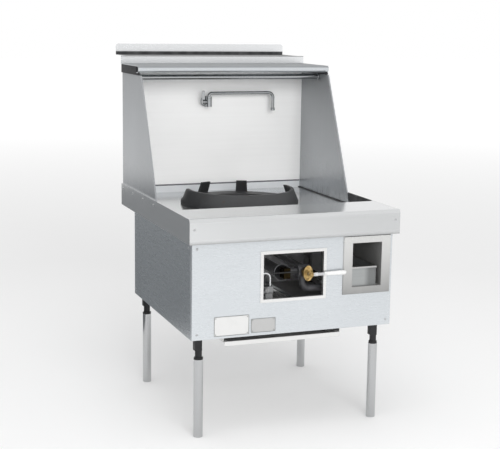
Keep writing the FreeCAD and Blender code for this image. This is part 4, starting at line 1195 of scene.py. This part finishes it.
class WOKRANGE_OT_stage(bpy.types.Operator):
    """Lays a pale floor, hangs soft lamps and stands the camera"""

    bl_idname = "wokrange.stage"
    bl_label = "Stage"

    key_spot = (-0.6, -7.0, 2.6)
    key_target = (0.0, 0.0, 1.0)
    top_spot = (-0.6, -1.2, 6.0)
    top_target = (0.0, 0.0, 0.9)
    lamp_size = 4.0
    glow_start = 3.0
    glow_end = 12.0
    near_glow = 0.04
    far_glow = 0.34
    card_foot = Vector((-0.53, 1.36, 0.03))
    card_top = Vector((-1.41, 1.36, 0.72))
    card_reach = 5.3
    card_turn = math.radians(-12)
    card_grey = (0.24, 0.25, 0.26)
    sensor_width = 36.0

    def execute(self, context):
        stage = context.scene.wok_range_stage
        self.light_all_round(context.scene, stage)
        self.lay_floor(stage)
        self.lean_card()
        self.hang_lamp("key_lamp", self.key_spot, self.key_target, stage.key, math.pi / 2)
        self.hang_lamp("top_lamp", self.top_spot, self.top_target, stage.top, math.pi)
        self.stand_camera(context.scene, stage)
        context.scene.view_settings.view_transform = "Standard"
        return {"FINISHED"}

    @staticmethod
    def light_all_round(scene, stage):
        """A white world, a little dimmer as a light than as it is seen."""
        world = bpy.data.worlds.new("white_studio")
        world.use_nodes = True
        scene.world = world
        shell = Graph(world.node_tree)
        background = world.node_tree.nodes["Background"]
        shell.feed(background.inputs["Color"], (1, 1, 1))
        shell.feed(background.inputs["Strength"], shell.ramp(shell.seen_rays(), 0.0, 1.0, stage.ambience))

    def lay_floor(self, stage):
        """A pale floor that glows towards the horizon, where it meets the white world."""
        bpy.ops.mesh.primitive_plane_add(size=2 * stage.floor_radius)
        floor = bpy.context.object
        floor.name = "pale_floor"
        finish = Finish("pale_floor", 0.0, 0.9)
        finish.set("Base Color", stage.floor)
        finish.set("Specular IOR Level", 0.0)
        finish.set("Emission Color", (1, 1, 1))
        reach = finish.node("ShaderNodeVectorMath", {0: finish.spot["Object"]}, operation="LENGTH")["Value"]
        glow = finish.ramp(reach, self.glow_start, self.glow_end, self.near_glow, self.far_glow)
        finish.set("Emission Strength", finish.times(finish.seen_rays(), glow))
        floor.data.materials.append(finish.material)

    def lean_card(self):
        """A dark card at the left, lower at the rear, which only the steel reflects."""
        foot, top = self.card_foot, self.card_top
        slope = math.atan2(top.z - foot.z, foot.x - top.x)
        aim = Matrix.Rotation(slope, 3, "Y") @ Matrix.Rotation(self.card_turn, 3, "Z")
        bpy.ops.mesh.primitive_plane_add(size=1.0, location=(foot + top) / 2, rotation=aim.to_euler())
        card = bpy.context.object
        card.name = "dark_card"
        card.scale = ((top - foot).length, self.card_reach, 1.0)
        finish = Finish("dark_card", 0.0, 1.0)
        finish.set("Base Color", self.card_grey)
        card.data.materials.append(finish.material)
        card.visible_camera = False
        card.visible_diffuse = False
        card.visible_shadow = False

    def hang_lamp(self, name, spot, target, power, spread):
        """A soft lamp that no metal mirrors."""
        aim = (Vector(target) - Vector(spot)).to_track_quat("-Z", "Y").to_euler()
        bpy.ops.object.light_add(type="AREA", location=spot, rotation=aim)
        lamp = bpy.context.object
        lamp.name = name
        lamp.data.size = self.lamp_size
        lamp.data.energy = power
        lamp.data.spread = spread
        lamp.visible_glossy = False

    def stand_camera(self, scene, stage):
        """A camera at the viewing angle of the photograph."""
        aim = (Matrix.Rotation(stage.heading, 4, "Z")
               @ Matrix.Rotation(math.pi / 2 - stage.dip, 4, "X")
               @ Matrix.Rotation(stage.roll, 4, "Z"))
        bpy.ops.object.camera_add(location=stage.eye, rotation=aim.to_euler())
        camera = bpy.context.object
        camera.data.lens = stage.lens
        camera.data.sensor_width = self.sensor_width
        scene.camera = camera


class WOKRANGE_PT_looks(bpy.types.Panel):
    """Lists the steps in order, and the colours and sizes"""

    bl_idname = "WOKRANGE_PT_looks"
    bl_label = "Wok range"
    bl_space_type = "VIEW_3D"
    bl_region_type = "UI"
    bl_category = "Wok range"

    def draw(self, context):
        for step in steps:
            self.layout.operator(step.bl_idname)
        scene = context.scene
        for group in (scene.wok_range_finishes, scene.wok_range_sizes, scene.wok_range_stage):
            for name in group.__annotations__:
                self.layout.prop(group, name)


steps = (WOKRANGE_OT_sheet_steel, WOKRANGE_OT_frame, WOKRANGE_OT_fittings, WOKRANGE_OT_valve,
         WOKRANGE_OT_lever_grip, WOKRANGE_OT_pilot_knob, WOKRANGE_OT_screws, WOKRANGE_OT_blank_plates,
         WOKRANGE_OT_tap_details, WOKRANGE_OT_rail_collars, WOKRANGE_OT_guard_hems, WOKRANGE_OT_end_caps,
         WOKRANGE_OT_seal_beads, WOKRANGE_OT_basket_rim, WOKRANGE_OT_burner, WOKRANGE_OT_stage)
classes = (WokRangeFinishes, WokRangeSizes, WokRangeStage, *steps, WOKRANGE_PT_looks)


def register():
    for item in classes:
        bpy.utils.register_class(item)
    bpy.types.Scene.wok_range_finishes = bpy.props.PointerProperty(type=WokRangeFinishes)
    bpy.types.Scene.wok_range_sizes = bpy.props.PointerProperty(type=WokRangeSizes)
    bpy.types.Scene.wok_range_stage = bpy.props.PointerProperty(type=WokRangeStage)


def unregister():
    del bpy.types.Scene.wok_range_stage
    del bpy.types.Scene.wok_range_sizes
    del bpy.types.Scene.wok_range_finishes
    for item in reversed(classes):
        bpy.utils.unregister_class(item)


def main():
    register()
    bpy.ops.wokrange.sheet_steel()
    bpy.ops.wokrange.frame()
    bpy.ops.wokrange.fittings()
    bpy.ops.wokrange.valve()
    bpy.ops.wokrange.lever_grip()
    bpy.ops.wokrange.pilot_knob()
    bpy.ops.wokrange.screws()
    bpy.ops.wokrange.blank_plates()
    bpy.ops.wokrange.tap_details()
    bpy.ops.wokrange.rail_collars()
    bpy.ops.wokrange.guard_hems()
    bpy.ops.wokrange.end_caps()
    bpy.ops.wokrange.seal_beads()
    bpy.ops.wokrange.basket_rim()
    bpy.ops.wokrange.burner()
    bpy.ops.wokrange.stage()


if __name__ == "__main__":
    main()
